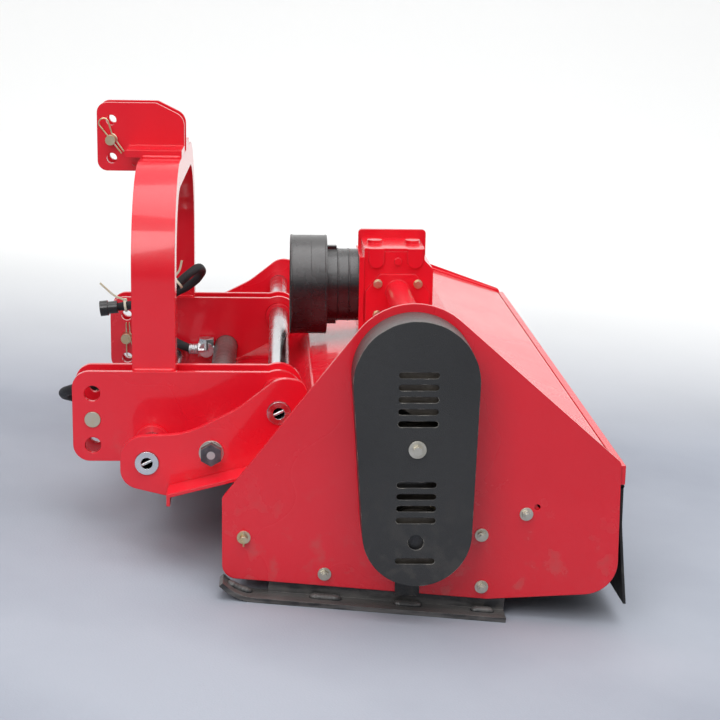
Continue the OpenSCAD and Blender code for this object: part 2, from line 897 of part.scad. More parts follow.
module plate_bolts() {
    color(zinc) machine() both_sides() {
        for (p = skid_bolt_places)
            at(p)
                plate_bolt(side_x, side_t + skid_t);
        for (p = [roller_bolt_a, roller_bolt_b])
            at(p)
                plate_bolt(side_x, side_t + bracket_t);
    }
}

// Belt drive
module slot_row(n, up) {
    for (i = [0 : n - 1])
        translate([cover_centre_back, up - i * slot_pitch]) {
            square([slot_l - slot_w, slot_w], center = true);
            for (s = [-1, 1])
                translate([s * (slot_l - slot_w) / 2, 0])
                    circle(d = slot_w);
        }
}
module belt_cover() {
    face_x = cover_x - cover_t;
    color(dark) machine() difference() {
        union() {
            along_x(side_x, cover_depth)
                capsule(cover_top, cover_top_r, cover_low, cover_low_r);
            along_x(side_x, cover_t)
                translate([tab_back - tab_w / 2, -tab_drop])
                    square([tab_w, tab_drop - cover_drop]);
        }
        along_x(side_x - overrun, cover_depth - cover_t + overrun)
            capsule(cover_top, cover_top_r - cover_t, cover_low, cover_low_r - cover_t);
        along_x(face_x - overrun, cover_t + 2 * overrun) {
            slot_row(upper_slots, slot_top_up);
            slot_row(lower_slots, -slot_mid_drop);
            slot_row(bottom_slots, -slot_low_drop);
        }
        hole_x(rotor_axis, 2 * window_r, face_x, cover_t);
        hole_x(cover_holes, stud_d + 2 * hole_fit, face_x, cover_t);
    }
}
module cover_bolt() {
    color(steel) machine() at(cover_holes) {
        rod_x(stud_d, side_x, cover_depth + washer_t);
        rod_x(stud_washer_d, cover_x, washer_t);
        hex_x(bolt_af, cover_x + washer_t, stud_head_h);
    }
}
function groove_x(i) = pulley_x + groove_web + i * groove_pitch;
module pulley(p, r) {
    at(p) {
        rod_x(2 * (r + pulley_bottom), pulley_x, pulley_w);
        for (i = [0 : belts])
            rod_x(2 * r, pulley_x + i * groove_pitch, groove_web);
    }
}
module belt_loop(r) {
    capsule(shaft_axis, drive_r + r, rotor_axis, driven_r + r);
}
module drive_belts() {
    color(dark) machine()
        for (i = [0 : belts - 1])
            along_x(groove_x(i) + pass_fit, belt_w)
                difference() {
                    belt_loop(belt_proud);
                    belt_loop(belt_proud - belt_t);
                }
}
module drive_pulley() {
    color(steel) machine() difference() {
        pulley(shaft_axis, drive_r);
        hole_x(shaft_axis, shaft_d + 2 * run_fit, pulley_x, pulley_w);
    }
}
module rotor_pulley() {
    color(steel) machine() difference() {
        pulley(rotor_axis, driven_r);
        hole_x(rotor_axis, stub_d + 2 * run_fit, pulley_x, pulley_w);
    }
}

// Gearbox
function hood_top(y) = brow_up + (y - brow_back) * (ridge_up - brow_up) / (ridge_back - brow_back);
function box_section(inset) =
    let (a = box_back + face_t + inset, b = box_back + box_l - inset, c = b - rear_step)
    [[a, box_up + inset], [b, box_up + inset], [b, bulge_up], [c, bulge_up + rear_step], [c, box_top], [a, box_top]];
module flange_bolt_places() {
    for (i = [-1, 1], z = [flange_bolt_up, -flange_bolt_low])
        translate([0, i * flange_bolt_back, z])
            children();
}
module bearing_bolt_places() {
    for (i = [0 : bearing_bolts_n - 1])
        rotate([45 + 360 * i / bearing_bolts_n, 0, 0])
            translate([0, bearing_bolt_r, 0])
                children();
}
module gearbox_housing() {
    half = box_w / 2;
    foot_a = box_back + face_t + foot_inset;
    foot_b = box_back + box_l - foot_inset;
    color(red) machine() difference() {
        union() {
            along_x(-half, box_w)
                polygon(rounded(box_section(0), [box_r, box_r, box_r / 2, box_r / 2, 0, 0]));
            along_x(-half, box_w + face_over)
                translate([box_back, box_up])
                    square([face_t, face_up - box_up]);
            along_x(-half + foot_inset, box_w - 2 * foot_inset)
                polygon([
                    [foot_a, hood_top(foot_a)], [foot_b, hood_top(foot_b)],
                    [foot_b, box_up + box_r], [foot_a, box_up + box_r]
                ]);
            for (s = boss_shares)
                along_x(half, lug_proud)
                    translate([box_back + s * box_l, box_top - lug_h]) {
                        circle(d = boss_d);
                        translate([-boss_d / 2, 0])
                            square([boss_d, lug_h + cap_t]);
                    }
            at([shaft_back, plug_up])
                hex_x(plug_af, half, plug_h);
        }
        along_x(-half + box_wall, box_w - 2 * box_wall)
            polygon(concat(
                [for (i = [0 : 3]) box_section(box_wall)[i]],
                [for (i = [4 : 5]) box_section(box_wall)[i] + [0, overrun]]));
        hole_x(shaft_axis, bearing_ring_d + 2 * hole_fit, -half, box_w);
        at([0, shaft_up])
            rod_y(input_ring_d + 2 * hole_fit, box_back - overrun, face_t + box_wall + 2 * overrun);
        at(shaft_axis)
            flange_bolt_places()
                rod_x(flange_bolt_d + 2 * hole_fit, half - box_wall - overrun, box_wall + 2 * overrun);
    }
}
module gearbox_cap() {
    color(red) machine() {
        translate([-box_w / 2, box_back + face_t, box_top])
            cube([box_w, box_l - face_t - rear_step, cap_t]);
        for (s = boss_shares)
            translate([0, box_back + s * box_l, box_top])
                cylinder(d = boss_d, h = cap_t + boss_h);
    }
}
module gearbox_stand() {
    a = box_back + stand_inset;
    b = box_back + box_l - stand_inset;
    color(red) machine()
        along_x(-box_w / 2 - stand_t, stand_t)
            polygon(rounded(
                [[a, hood_top(a)], [b, hood_top(b)], [b, stand_up], [a, stand_up]], [0, 0, stand_r, stand_r]));
}
module cross_tube() {
    half = box_w / 2;
    side = tube_flange_w / 2;
    top = side * flange_top_share;
    color(red) machine() at(shaft_axis) difference() {
        union() {
            rod_x(tube_d, half, inner_x - half);
            along_x(half, tube_flange_t)
                polygon(rounded(
                    [[side, 0], [top, flange_top_up], [-top, flange_top_up], [-side, 0], [-side, -flange_low],
                        [side, -flange_low]],
                    [for (i = [0 : 5]) flange_corner_r]));
        }
        rod_x(tube_d - 2 * tube_wall, half - overrun, inner_x - half + 2 * overrun);
        flange_bolt_places()
            rod_x(flange_bolt_d + 2 * hole_fit, half - overrun, tube_flange_t + 2 * overrun);
    }
}
module flange_bolts() {
    face = box_w / 2 + tube_flange_t;
    color(zinc) machine() at(shaft_axis)
        flange_bolt_places() {
            rod_x(flange_bolt_d, box_w / 2 - box_wall, box_wall + tube_flange_t + washer_t);
            rod_x(flange_washer_d, face, washer_t);
            hex_x(flange_bolt_af, face + washer_t, flange_bolt_h);
        }
}
module bearing_bolts() {
    color(zinc) machine() both_sides() at(rotor_axis)
        bearing_bolt_places() {
            rod_x(flange_bolt_d, bearing_x, bearing_t + side_t);
            hex_x(flange_bolt_af, side_x, flange_bolt_h);
        }
}
module ring_x(d, bore, x, w) {
    difference() {
        rod_x(d, x, w);
        rod_x(bore, x - overrun, w + 2 * overrun);
    }
}
module shaft_bearings() {
    half = box_w / 2;
    color(steel) machine() {
        at(shaft_axis) {
            both_sides()
                ring_x(bearing_ring_d, shaft_d + 2 * run_fit, half - bearing_ring_w, bearing_ring_w);
            ring_x(
                tube_d - 2 * tube_wall - 2 * hole_fit, shaft_d + 2 * run_fit,
                inner_x - bearing_ring_w, bearing_ring_w);
        }
        at([0, shaft_up])
            difference() {
                rod_y(input_ring_d, box_back, input_ring_w);
                rod_y(input_neck_d + 2 * run_fit, box_back - overrun, input_ring_w + 2 * overrun);
            }
    }
}
function gear_points(n, tip, root) = [
    for (i = [0 : n - 1], k = [[-tooth_root_share, root], [-tooth_tip_share, tip], [tooth_tip_share, tip],
        [tooth_root_share, root]])
        k[1] * [cos(360 * (i + k[0] / 2) / n), sin(360 * (i + k[0] / 2) / n)]];
module bevel_gear(n, r, apex, bore) {
    a = atan2(r, apex);
    difference() {
        linear_extrude(apex * face_share, scale = 1 - face_share)
            polygon(gear_points(
                n, apex * tan(a + atan2(tooth_add, cone_l)), apex * tan(a - atan2(tooth_ded, cone_l))));
        translate([0, 0, -overrun])
            cylinder(d = bore, h = apex * face_share + 2 * overrun);
    }
}
module input_gear() {
    color(steel) machine()
        translate([0, shaft_back - pinion_r, shaft_up])
            rotate([-90, 0, 0])
                rotate([0, 0, 180 / gear_teeth])
                    bevel_gear(gear_teeth, gear_r, pinion_r, input_neck_d + 2 * run_fit);
}
module output_gear() {
    color(steel) machine()
        translate([gear_r, shaft_back, shaft_up])
            rotate([0, -90, 0])
                bevel_gear(pinion_teeth, pinion_r, gear_r, shaft_d + 2 * run_fit);
}
module input_shaft() {
    stub_l = box_back - bell_back - input_inset - pass_fit;
    neck_end = shaft_back - pinion_r * (1 - face_share);
    color(steel) machine() at([0, shaft_up]) {
        difference() {
            rod_y(input_d, bell_back + input_inset, stub_l);
            for (i = [0 : splines - 1])
                rotate([0, 360 * i / splines, 0])
                    translate([input_d / 2 - spline_depth, bell_back, -input_d * spline_share / splines])
                        cube([input_d, stub_l / 2, 2 * input_d * spline_share / splines]);
        }
        rod_y(input_neck_d, bell_back + input_inset, neck_end - bell_back - input_inset);
    }
}
module cross_shaft() {
    x = -box_w / 2 + shaft_inset;
    color(steel) machine() at(shaft_axis)
        rod_x(shaft_d, x, shaft_end_x - x);
}

// Shield round the drive shaft
module ring_y(d, bore, y, l) {
    difference() {
        rod_y(d, y, l);
        rod_y(bore, y - overrun, l + 2 * overrun);
    }
}
module shield_bell() {
    color(dark) machine() at([0, shaft_up]) {
        ring_y(bell_d, bell_d - 2 * shield_t, bell_back, bell_l);
        ring_y(bell_d - shield_t, collar_d - 2 * bell_hole_inset, bell_end - shield_t, shield_t);
    }
}
module shield_collar() {
    l = box_back - bell_end;
    color(dark) machine() at([0, shaft_up]) {
        ring_y(collar_d, collar_d - 2 * shield_t, bell_end, l);
        ring_y(collar_d - shield_t, collar_hole_d, box_back - shield_t, shield_t);
        for (a = [0, 180])
            rotate([0, a, 0])
                translate([-clip_w / 2, bell_end, collar_d / 2 - shield_t / 2])
                    cube([clip_w, clip_l, clip_h + shield_t / 2]);
    }
}

// Rotor
function flail_x(row, i) = (i - (flails_per_row - 1) / 2) * row_pitch + (row - (flail_rows - 1) / 2) * row_step;
module on_row(row) {
    at(rotor_axis)
        rotate([row * row_turn, 0, 0])
            children();
}
module rotor_ear() {
    along_x(0, ear_t)
        difference() {
            union() {
                translate([rotor_d / 2 - ear_sink, -ear_w / 2])
                    square([pin_circle_r - rotor_d / 2 + ear_sink, ear_w]);
                translate([pin_circle_r, 0])
                    circle(d = ear_w);
            }
            translate([pin_circle_r, 0])
                circle(d = flail_pin_d + 2 * hole_fit);
        }
}
module rotor() {
    ear_at = eye_w / 2 + pass_fit;
    color(dark) machine() {
        at(rotor_axis) {
            ring_x(rotor_d, rotor_d - 2 * rotor_wall, -rotor_half, 2 * rotor_half);
            both_sides()
                rod_x(rotor_d - rotor_wall, rotor_half - stub_d, stub_d);
            rod_x(stub_d, rotor_half - overrun, shaft_end_x - rotor_half);
            rod_x(stub_d, -side_x - rotor_out, side_x + rotor_out - rotor_half + overrun);
        }
        for (row = [0 : flail_rows - 1], i = [0 : flails_per_row - 1])
            on_row(row)
                for (x = [flail_x(row, i) + ear_at, flail_x(row, i) - ear_at - ear_t])
                    translate([x, 0, 0])
                        rotor_ear();
    }
}
module flail_pins() {
    half = eye_w / 2 + pass_fit + ear_t;
    color(zinc) machine()
        for (row = [0 : flail_rows - 1], i = [0 : flails_per_row - 1])
            on_row(row)
                translate([flail_x(row, i), pin_circle_r, 0]) {
                    rod_x(flail_pin_d, -half, 2 * half);
                    both_sides()
                        rod_x(flail_pin_head_d, half, flail_pin_head);
                }
}
module flail_row(row) {
    shank = flail_reach * head_share;
    reach = pin_circle_r * cos(row * row_turn);
    color(dark) machine() at(rotor_axis + [reach, 0])
        rotate([-90 - lean, 0, 0])
            for (i = [0 : flails_per_row - 1])
                translate([flail_x(row, i), 0, 0])
                    difference() {
                        union() {
                            along_x(-eye_w / 2, eye_w) {
                                circle(r = eye_r);
                                translate([0, -eye_r])
                                    square([shank + overrun, 2 * eye_r]);
                            }
                            along_x(-head_w / 2, head_w)
                                polygon([
                                    [shank, -eye_r], [flail_reach, -head_t / 2], [flail_reach, head_t / 2],
                                    [shank, eye_r]
                                ]);
                        }
                        rod_x(flail_pin_d + 2 * hole_fit, -eye_w, 2 * eye_w);
                    }
}
module rear_flail_row() {
    flail_row(0);
}
module front_flail_row() {
    flail_row(1);
}
module rotor_bearings() {
    color(steel) machine() both_sides() at(rotor_axis) difference() {
        ring_x(bearing_d, stub_d + 2 * run_fit, bearing_x, bearing_t);
        bearing_bolt_places()
            rod_x(flange_bolt_d + 2 * hole_fit, bearing_x - overrun, bearing_t + 2 * overrun);
    }
}

// Rear roller, flaps and clamp
roller_half = bracket_x - roller_gap;
module roller_brackets() {
    color(red) machine() both_sides() difference() {
        along_x(bracket_x, bracket_t) {
            capsule(roller_bolt_a, bracket_r, roller_bolt_b, bracket_r);
            capsule(roller_bolt_b, bracket_r, roller_axis, bracket_r);
        }
        for (p = [roller_bolt_a, roller_bolt_b])
            hole_x(p, bolt_d + 2 * hole_fit, bracket_x, bracket_t);
        hole_x(roller_axis, roller_stub_d + 2 * run_fit, bracket_x, bracket_t);
    }
}
module rear_roller() {
    color(dark) machine() at(roller_axis) {
        rod_x(roller_d, -roller_half, 2 * roller_half);
        rod_x(roller_stub_d, -inner_x + pass_fit, 2 * (inner_x - pass_fit));
    }
}
module clamp_bar() {
    color(red) machine()
        translate([-inner_x, fold_back, fold_up - clamp_gap - clamp_h])
            cube([2 * inner_x, clamp_t, clamp_h]);
}
module rear_flap() {
    half = inner_x - flap_side_gap;
    middle = [0, -flap_mid_share * rear_flap_l];
    foot = [rear_flap_sweep, -rear_flap_l];
    line = concat([[0, 0]], fillet([0, 0], middle, foot, rear_flap_l / 2), [foot]);
    shift = [for (p = line) p + [rear_flap_t / 2, 0]];
    color(dark) machine() at(flap_bead) {
        rod_x(2 * bead_r, -half, 2 * half);
        along_x(-half, 2 * half)
            polygon(ribbon(shift, rear_flap_t));
    }
}
module flap_rod() {
    half = side_x + rod_out;
    color(zinc) machine() at(flap_axis) {
        difference() {
            rod_x(flap_rod_d, -half, 2 * half);
            both_sides()
                translate([side_x + rod_out / 2, 0, 0])
                    cylinder(d = split_pin_d + 2 * hole_fit, h = 2 * flap_rod_d, center = true);
        }
        both_sides() {
            ring_x(washer_d, flap_rod_d + 2 * hole_fit, side_x, washer_t);
            translate([side_x + rod_out / 2, 0, 0])
                cylinder(d = split_pin_d, h = split_pin_l, center = true);
        }
    }
}
module front_flaps() {
    pitch = 2 * bearing_x / front_flaps_n;
    eye_d = flap_rod_d + 2 * hole_fit + 2 * flap_eye_wall;
    color(dark) machine() at(flap_axis) rotate([-lean, 0, 0])
        for (i = [0 : front_flaps_n - 1])
            difference() {
                along_x(-bearing_x + i * pitch + flap_gap / 2, pitch - flap_gap) {
                    circle(d = eye_d);
                    translate([-front_flap_t / 2, -front_flap_l])
                        square([front_flap_t, front_flap_l]);
                }
                rod_x(flap_rod_d + 2 * hole_fit, -side_x, 2 * side_x);
            }
}

// Hitch
module clevis_outline() {
    rear_low = apron_tip + clevis_reach * apron_dir + [0, clevis_rise];
    touch = tangent_from(rear_low, rear_bar, lobe_r, -1);
    front_low = meet(rear_low, apron_dir, [0, -clevis_drop], [1, 0]);
    polygon(rounded(
        [[-clevis_front, clevis_up], [-clevis_front, -clevis_drop], front_low, rear_low, touch,
            [rear_bar.x, clevis_up]],
        [clevis_r, clevis_r, tip_r, tip_r, 0, 0]));
    translate(rear_bar)
        circle(lobe_r);
}
module clevis(side, x, pin_hole, ram_hole) {
    color(red) machine() on_hitch(side) difference() {
        along_x(x, clevis_t)
            clevis_outline();
        for (p = [front_bar, rear_bar])
            hole_x(p, bush_d + 2 * hole_fit, x, clevis_t);
        for (z = lower_holes)
            hole_x([0, z], pin_hole + 2 * hole_fit, x, clevis_t);
        hole_x(ram_axis, ram_hole, x, clevis_t);
    }
}
module left_outer_clevis() {
    clevis(1, outer_face - clevis_t, pin_d, ram_hole_d);
}
module left_inner_clevis() {
    clevis(1, inner_face, pin_step_d, ram_hole_d);
}
module right_inner_clevis() {
    clevis(-1, inner_face, pin_step_d, barrel_d + 2 * hole_fit);
}
module right_outer_clevis() {
    clevis(-1, outer_face - clevis_t, pin_d, ram_hole_d);
}
module slide_bushes() {
    color(red) machine()
        for (side = [1, -1], p = [front_bar, rear_bar])
            on_hitch(side) at(p) difference() {
                union() {
                    rod_x(bush_d, inner_face - bush_proud, outer_face - inner_face + bush_proud);
                    rod_x(bush_collar_d, outer_face, bush_collar_t);
                }
                rod_x(
                    bar_d + 2 * run_fit, inner_face - bush_proud - overrun,
                    outer_face + bush_collar_t - inner_face + bush_proud + 2 * overrun);
            }
}
module tube_section(inset) {
    translate([-clevis_gap / 2 + inset, inset])
        square([clevis_gap - 2 * inset, arch_w - 2 * inset]);
}
module arch_run(inset, over) {
    knee = arch_up - shoulder_r;
    bend = shoulder_r - clevis_gap / 2;
    both_sides() {
        translate([hitch_half, 0, leg_low - over])
            linear_extrude(knee - leg_low + over)
                tube_section(inset);
        translate([hitch_half - bend, 0, knee])
            rotate([90, 0, 0])
                mirror([0, 0, 1])
                    rotate_extrude_shoulder(bend, inset);
    }
    translate([-hitch_half + bend, 0, knee + bend])
        rotate([0, 90, 0])
            linear_extrude(2 * (hitch_half - bend))
                tube_section(inset);
}
module rotate_extrude_shoulder(bend, inset) {
    translate([0, 0, inset])
        rotate_extrude(angle = 90, $fn = 96)
            translate([bend - clevis_gap / 2 + inset, 0])
                square([clevis_gap - 2 * inset, arch_w - 2 * inset]);
}
module arch() {
    color(red) machine() on_hitch() translate([0, arch_back, 0]) difference() {
        arch_run(0, 0);
        arch_run(arch_wall, overrun);
    }
}
module top_link_plates() {
    rear = arch_back + arch_w;
    outline = rounded(
        [[-link_front, link_up], [-link_front, link_low], [arch_back, link_low], [arch_back, arch_up],
            [rear, arch_up], [rear, link_tail_up], [link_tail_back, link_up]],
        [link_nose_r, link_nose_r, 0, 0, 0, link_tail_r, tip_r]);
    color(red) machine() on_hitch() both_sides() {
        difference() {
            along_x(link_gap / 2, link_t)
                polygon(outline);
            for (z = link_holes)
                hole_x([link_hole_back, z], top_pin_d + 2 * hole_fit, link_gap / 2, link_t);
            hole_x(small_hole, small_hole_d, link_gap / 2, link_t);
        }
        translate([link_gap / 2, saddle_front, arch_up])
            cube([saddle_half - link_gap / 2, rear - saddle_front, saddle_t]);
    }
}
module lower_pins() {
    shoulder = inner_face + clevis_t + pass_fit;
    color(steel) machine()
        for (side = [1, -1])
            on_hitch(side) difference() {
                union() {
                    rod_x(pin_d, shoulder, outer_face + pin_proud - shoulder);
                    rod_x(pin_step_d, inner_face - pin_inner_proud, clevis_t + pin_inner_proud + 2 * pass_fit);
                }
                translate([inner_face - clip_inset, 0, 0])
                    cylinder(d = clip_wire + 2 * hole_fit, h = 2 * pin_d, center = true);
            }
}
module top_link_pin() {
    half = link_gap / 2 + link_t;
    color(steel) machine() on_hitch() at([link_hole_back, mast_up]) difference() {
        union() {
            rod_x(top_pin_d, -half, 2 * half + top_pin_proud);
            rod_x(top_pin_head_d, -half - top_pin_head, top_pin_head);
        }
        translate([half + clip_inset, 0, 0])
            rotate([top_clip_turn, 0, 0])
                cylinder(d = clip_wire + 2 * hole_fit, h = 2 * top_pin_d, center = true);
    }
}
function clip_path(r) =
    let (bow = r + clip_wire / 2 + pass_fit, top = r + clip_leg)
    [for (p = concat(
        [[0, -top], [0, -top / 2], [0, 0], [0, top / 2]],
        arc([-clip_ring_r, top], clip_ring_r, 0, clip_ring_sweep),
        arc([0, 0], bow, clip_bow_from, clip_bow_to),
        [[-bow / 2, -top]]))
        [0, p.x, p.y]];
module spring_clip(r) {
    swept(clip_path(r), clip_wire / 2, hose_sides, [1, 0, 0]);
}
module hitch_clips() {
    color(zinc) machine() {
        for (side = [1, -1])
            on_hitch(side)
                translate([inner_face - clip_inset, 0, 0])
                    rotate([lower_clip_turn, 0, 0])
                        spring_clip(pin_step_d / 2);
        on_hitch()
            at([link_hole_back, mast_up], link_gap / 2 + link_t + clip_inset)
                rotate([top_clip_turn, 0, 0])
                    mirror([0, 1, 0])
                        spring_clip(top_pin_d / 2);
    }
}

// Side-shift cylinder and hoses
module ram_barrel() {
    color(dark) machine() at(ram_axis) difference() {
        rod_x(barrel_d, barrel_x, barrel_l);
        rod_x(barrel_bore, barrel_x + barrel_base, barrel_l - barrel_base + overrun);
    }
}
module ram_gland() {
    color(steel) machine() at(ram_axis) difference() {
        union() {
            rod_x(barrel_bore - 2 * hole_fit, barrel_end - gland_in, gland_in);
            rod_x(barrel_d, barrel_end, gland_out);
        }
        rod_x(rod_d + 2 * run_fit, barrel_end - gland_in - overrun, gland_in + gland_out + 2 * overrun);
    }
}
module ram_rod() {
    x = barrel_end - rod_inside;
    end = arm_x - arm_t;
    color(steel) machine() at(ram_axis) difference() {
        union() {
            rod_x(rod_d, x, end - x);
            rod_x(barrel_bore - 2 * hole_fit, x, piston_l);
        }
        rod_x(anchor_shank_d + 2 * hole_fit, end - anchor_grip, anchor_grip + overrun);
    }
}
module ram_anchor() {
    color(steel) machine() at(ram_axis) {
        rod_x(anchor_shank_d, arm_x - arm_t - anchor_grip, arm_t + anchor_grip + anchor_washer_t);
        rod_x(anchor_washer_d, arm_x, anchor_washer_t);
        hex_x(anchor_af, arm_x + anchor_washer_t, anchor_head);
    }
}
module facing(d) {
    rotate([0, acos(d.z), atan2(d.y, d.x)])
        children();
}
module hydraulic_fittings() {
    hex_l = fitting_l * fitting_hex_share;
    color(steel) machine() on_hitch()
        for (x = [right_port_x, left_port_x])
            translate([x, port_y, -ram_drop]) {
                rod_y(fitting_d, 0, fitting_l);
                rotate([-90, 0, 0])
                    cylinder(d = fitting_af / cos(30), h = hex_l, $fn = 6);
                translate([0, fitting_l - banjo_d / 2, 0]) {
                    rod_x(banjo_d, -banjo_w / 2, banjo_w);
                    cylinder(d = fitting_af / cos(30), h = plug_top_h, $fn = 6);
                }
            }
}
module hose_caps() {
    color(dark) machine() on_hitch()
        for (route = [smooth(right_route), smooth(left_route)])
            translate(route[len(route) - 1] + hole_fit * heading(route, len(route) - 1))
                facing(heading(route, len(route) - 1)) {
                    cylinder(d = coupler_d, h = coupler_l);
                    translate([0, 0, coupler_l * (1 - coupler_cap_share)])
                        cylinder(d = coupler_cap_d, h = coupler_l * coupler_cap_share);
                }
}
module right_hose() {
    color(dark) machine() on_hitch()
        swept(smooth(right_route), hose_d / 2, hose_sides, right_twist);
}
module left_hose() {
    color(dark) machine() on_hitch()
        swept(smooth(left_route), hose_d / 2, hose_sides, left_twist);
}
module hose_ties() {
    ring_r = hose_d / 2 + pass_fit + tie_wire / 2;
    color(pale) machine() on_hitch()
        for (i = tie_places)
            translate(right_route[i])
                facing(heading(right_route, i)) {
                    rotate_extrude()
                        translate([ring_r, 0])
                            circle(d = tie_wire);
                    translate([-ring_r - tie_tail_l, -tie_tail_w / 2, -tie_wire / 2])
                        cube([tie_tail_l, tie_tail_w, tie_wire]);
                }
}

left_side_plate();
right_side_plate();
hood();
front_apron();
left_arm();
right_arm();
front_shift_bar();
rear_shift_bar();
bar_pins();
left_skid();
right_skid();
plate_bolts();
belt_cover();
cover_bolt();
drive_belts();
gearbox_housing();
gearbox_cap();
gearbox_stand();
cross_tube();
flange_bolts();
shaft_bearings();
shield_bell();
shield_collar();
rotor_bearings();
bearing_bolts();
roller_brackets();
clamp_bar();
flap_rod();
ram_rod();
ram_anchor();
left_outer_clevis();
left_inner_clevis();
right_inner_clevis();
right_outer_clevis();
arch();
top_link_plates();
slide_bushes();
lower_pins();
top_link_pin();
hitch_clips();
ram_barrel();
ram_gland();
hydraulic_fittings();
hose_caps();
right_hose();
left_hose();
hose_ties();
input_shaft();
input_gear();
cross_shaft();
output_gear();
drive_pulley();
rotor();
rotor_pulley();
flail_pins();
front_flail_row();
rear_flail_row();
rear_roller();
front_flaps();
rear_flap();
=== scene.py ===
# %% [markdown]
# # A side-shift flail mower, dressed for the studio
# The mower comes in as a finished set of solids: plates, bars, gears, rotor and flails, each already in
# its place. This lesson paints them, and makes the pieces that solids alone show badly: sleeved hoses,
# ties, a rubber flap, belts, and the beads of weld that hold the plates together.

# %% Load the solids
import json
import math
import bpy
import numpy as np
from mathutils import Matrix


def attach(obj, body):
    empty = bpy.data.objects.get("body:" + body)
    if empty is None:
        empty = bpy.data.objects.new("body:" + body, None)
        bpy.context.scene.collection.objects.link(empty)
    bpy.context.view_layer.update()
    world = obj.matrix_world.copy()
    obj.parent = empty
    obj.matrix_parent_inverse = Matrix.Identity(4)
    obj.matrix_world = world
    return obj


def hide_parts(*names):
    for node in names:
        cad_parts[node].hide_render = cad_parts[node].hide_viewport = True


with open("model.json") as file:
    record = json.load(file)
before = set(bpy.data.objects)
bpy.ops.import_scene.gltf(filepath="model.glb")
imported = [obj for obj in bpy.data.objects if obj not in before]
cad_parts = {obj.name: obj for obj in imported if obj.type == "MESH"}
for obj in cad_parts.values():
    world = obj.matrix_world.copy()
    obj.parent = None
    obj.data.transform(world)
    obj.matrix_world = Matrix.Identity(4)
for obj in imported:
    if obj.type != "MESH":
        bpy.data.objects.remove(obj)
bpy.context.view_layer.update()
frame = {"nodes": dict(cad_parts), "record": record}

# %% [markdown]
# The mower was drawn in millimetres about its lower link pins, leaning forward a little on its skids.
# The scene is in metres on the ground. Two small functions carry points across, so every size below can be
# read off a drawing of the machine. One turns with the lean; the other is for pieces drawn flat on the floor.

# %% From the drawing to the scene
LEAN = math.radians(5)
ORIGIN = np.array([28.25, 420.92, -193.0])


def machine(points):
    """Millimetres about the pin axis to metres: turn by the lean about X, then subtract the origin."""
    x, y, z = np.moveaxis(np.asarray(points, float), -1, 0)
    back = y * math.cos(LEAN) - z * math.sin(LEAN)
    up = y * math.sin(LEAN) + z * math.cos(LEAN)
    return (np.stack([x, back, up], -1) - ORIGIN) / 1000


def on_floor(points):
    """Millimetres along the floor (side, back, height) to metres: only the origin's place is subtracted."""
    return (np.asarray(points, float) - ORIGIN * [1, 1, 0]) / 1000


print("pin axis stands at", machine([0, 0, 0]).round(4), "m")

# %% [markdown]
# The photograph looks at the belt side from a little above. A camera could be placed by eye, but the machine's
# known points give its place by a fit: a long lens about three metres off, rolled a few degrees.

# %% Camera
lens = bpy.data.cameras.new("studio_lens")
lens.lens, lens.sensor_width = 82.225, 36.0
camera = bpy.data.objects.new("studio_camera", lens)
camera.location = (3.26495, -0.16701, 0.98876)
camera.rotation_euler = [math.radians(a) for a in (77.0876, -5.9691, 87.2019)]
bpy.context.scene.collection.objects.link(camera)
bpy.context.scene.camera = camera
bpy.context.scene.view_settings.view_transform = "Standard"
print("camera", round(camera.location.length, 2), "m from the middle of the machine")

# %% [markdown]
# Every finish is a small network of nodes. Written node by node, such a network is long and hard to read, so a
# socket is wrapped in a class whose operators add Math nodes: `0.2 + 0.1 * grain` then reads as it is meant.
# One more method makes any other node from its type, its settings and its sockets.

# %% Sockets that add up
class Wire:
    """One output socket. An operator on it adds the Math node of that name."""

    def __init__(self, finish, socket):
        self.finish, self.socket = finish, socket

    def maths(self, operation, first, second):
        return self.finish.node("ShaderNodeMath", {"operation": operation}, {0: first, 1: second})

    def __add__(self, other):
        return self.maths("ADD", self, other)

    def __radd__(self, other):
        return self.maths("ADD", other, self)

    def __sub__(self, other):
        return self.maths("SUBTRACT", self, other)

    def __rsub__(self, other):
        return self.maths("SUBTRACT", other, self)

    def __mul__(self, other):
        return self.maths("MULTIPLY", self, other)

    def __rmul__(self, other):
        return self.maths("MULTIPLY", other, self)

    def __truediv__(self, other):
        return self.maths("DIVIDE", self, other)

    def __pow__(self, other):
        return self.maths("POWER", self, other)


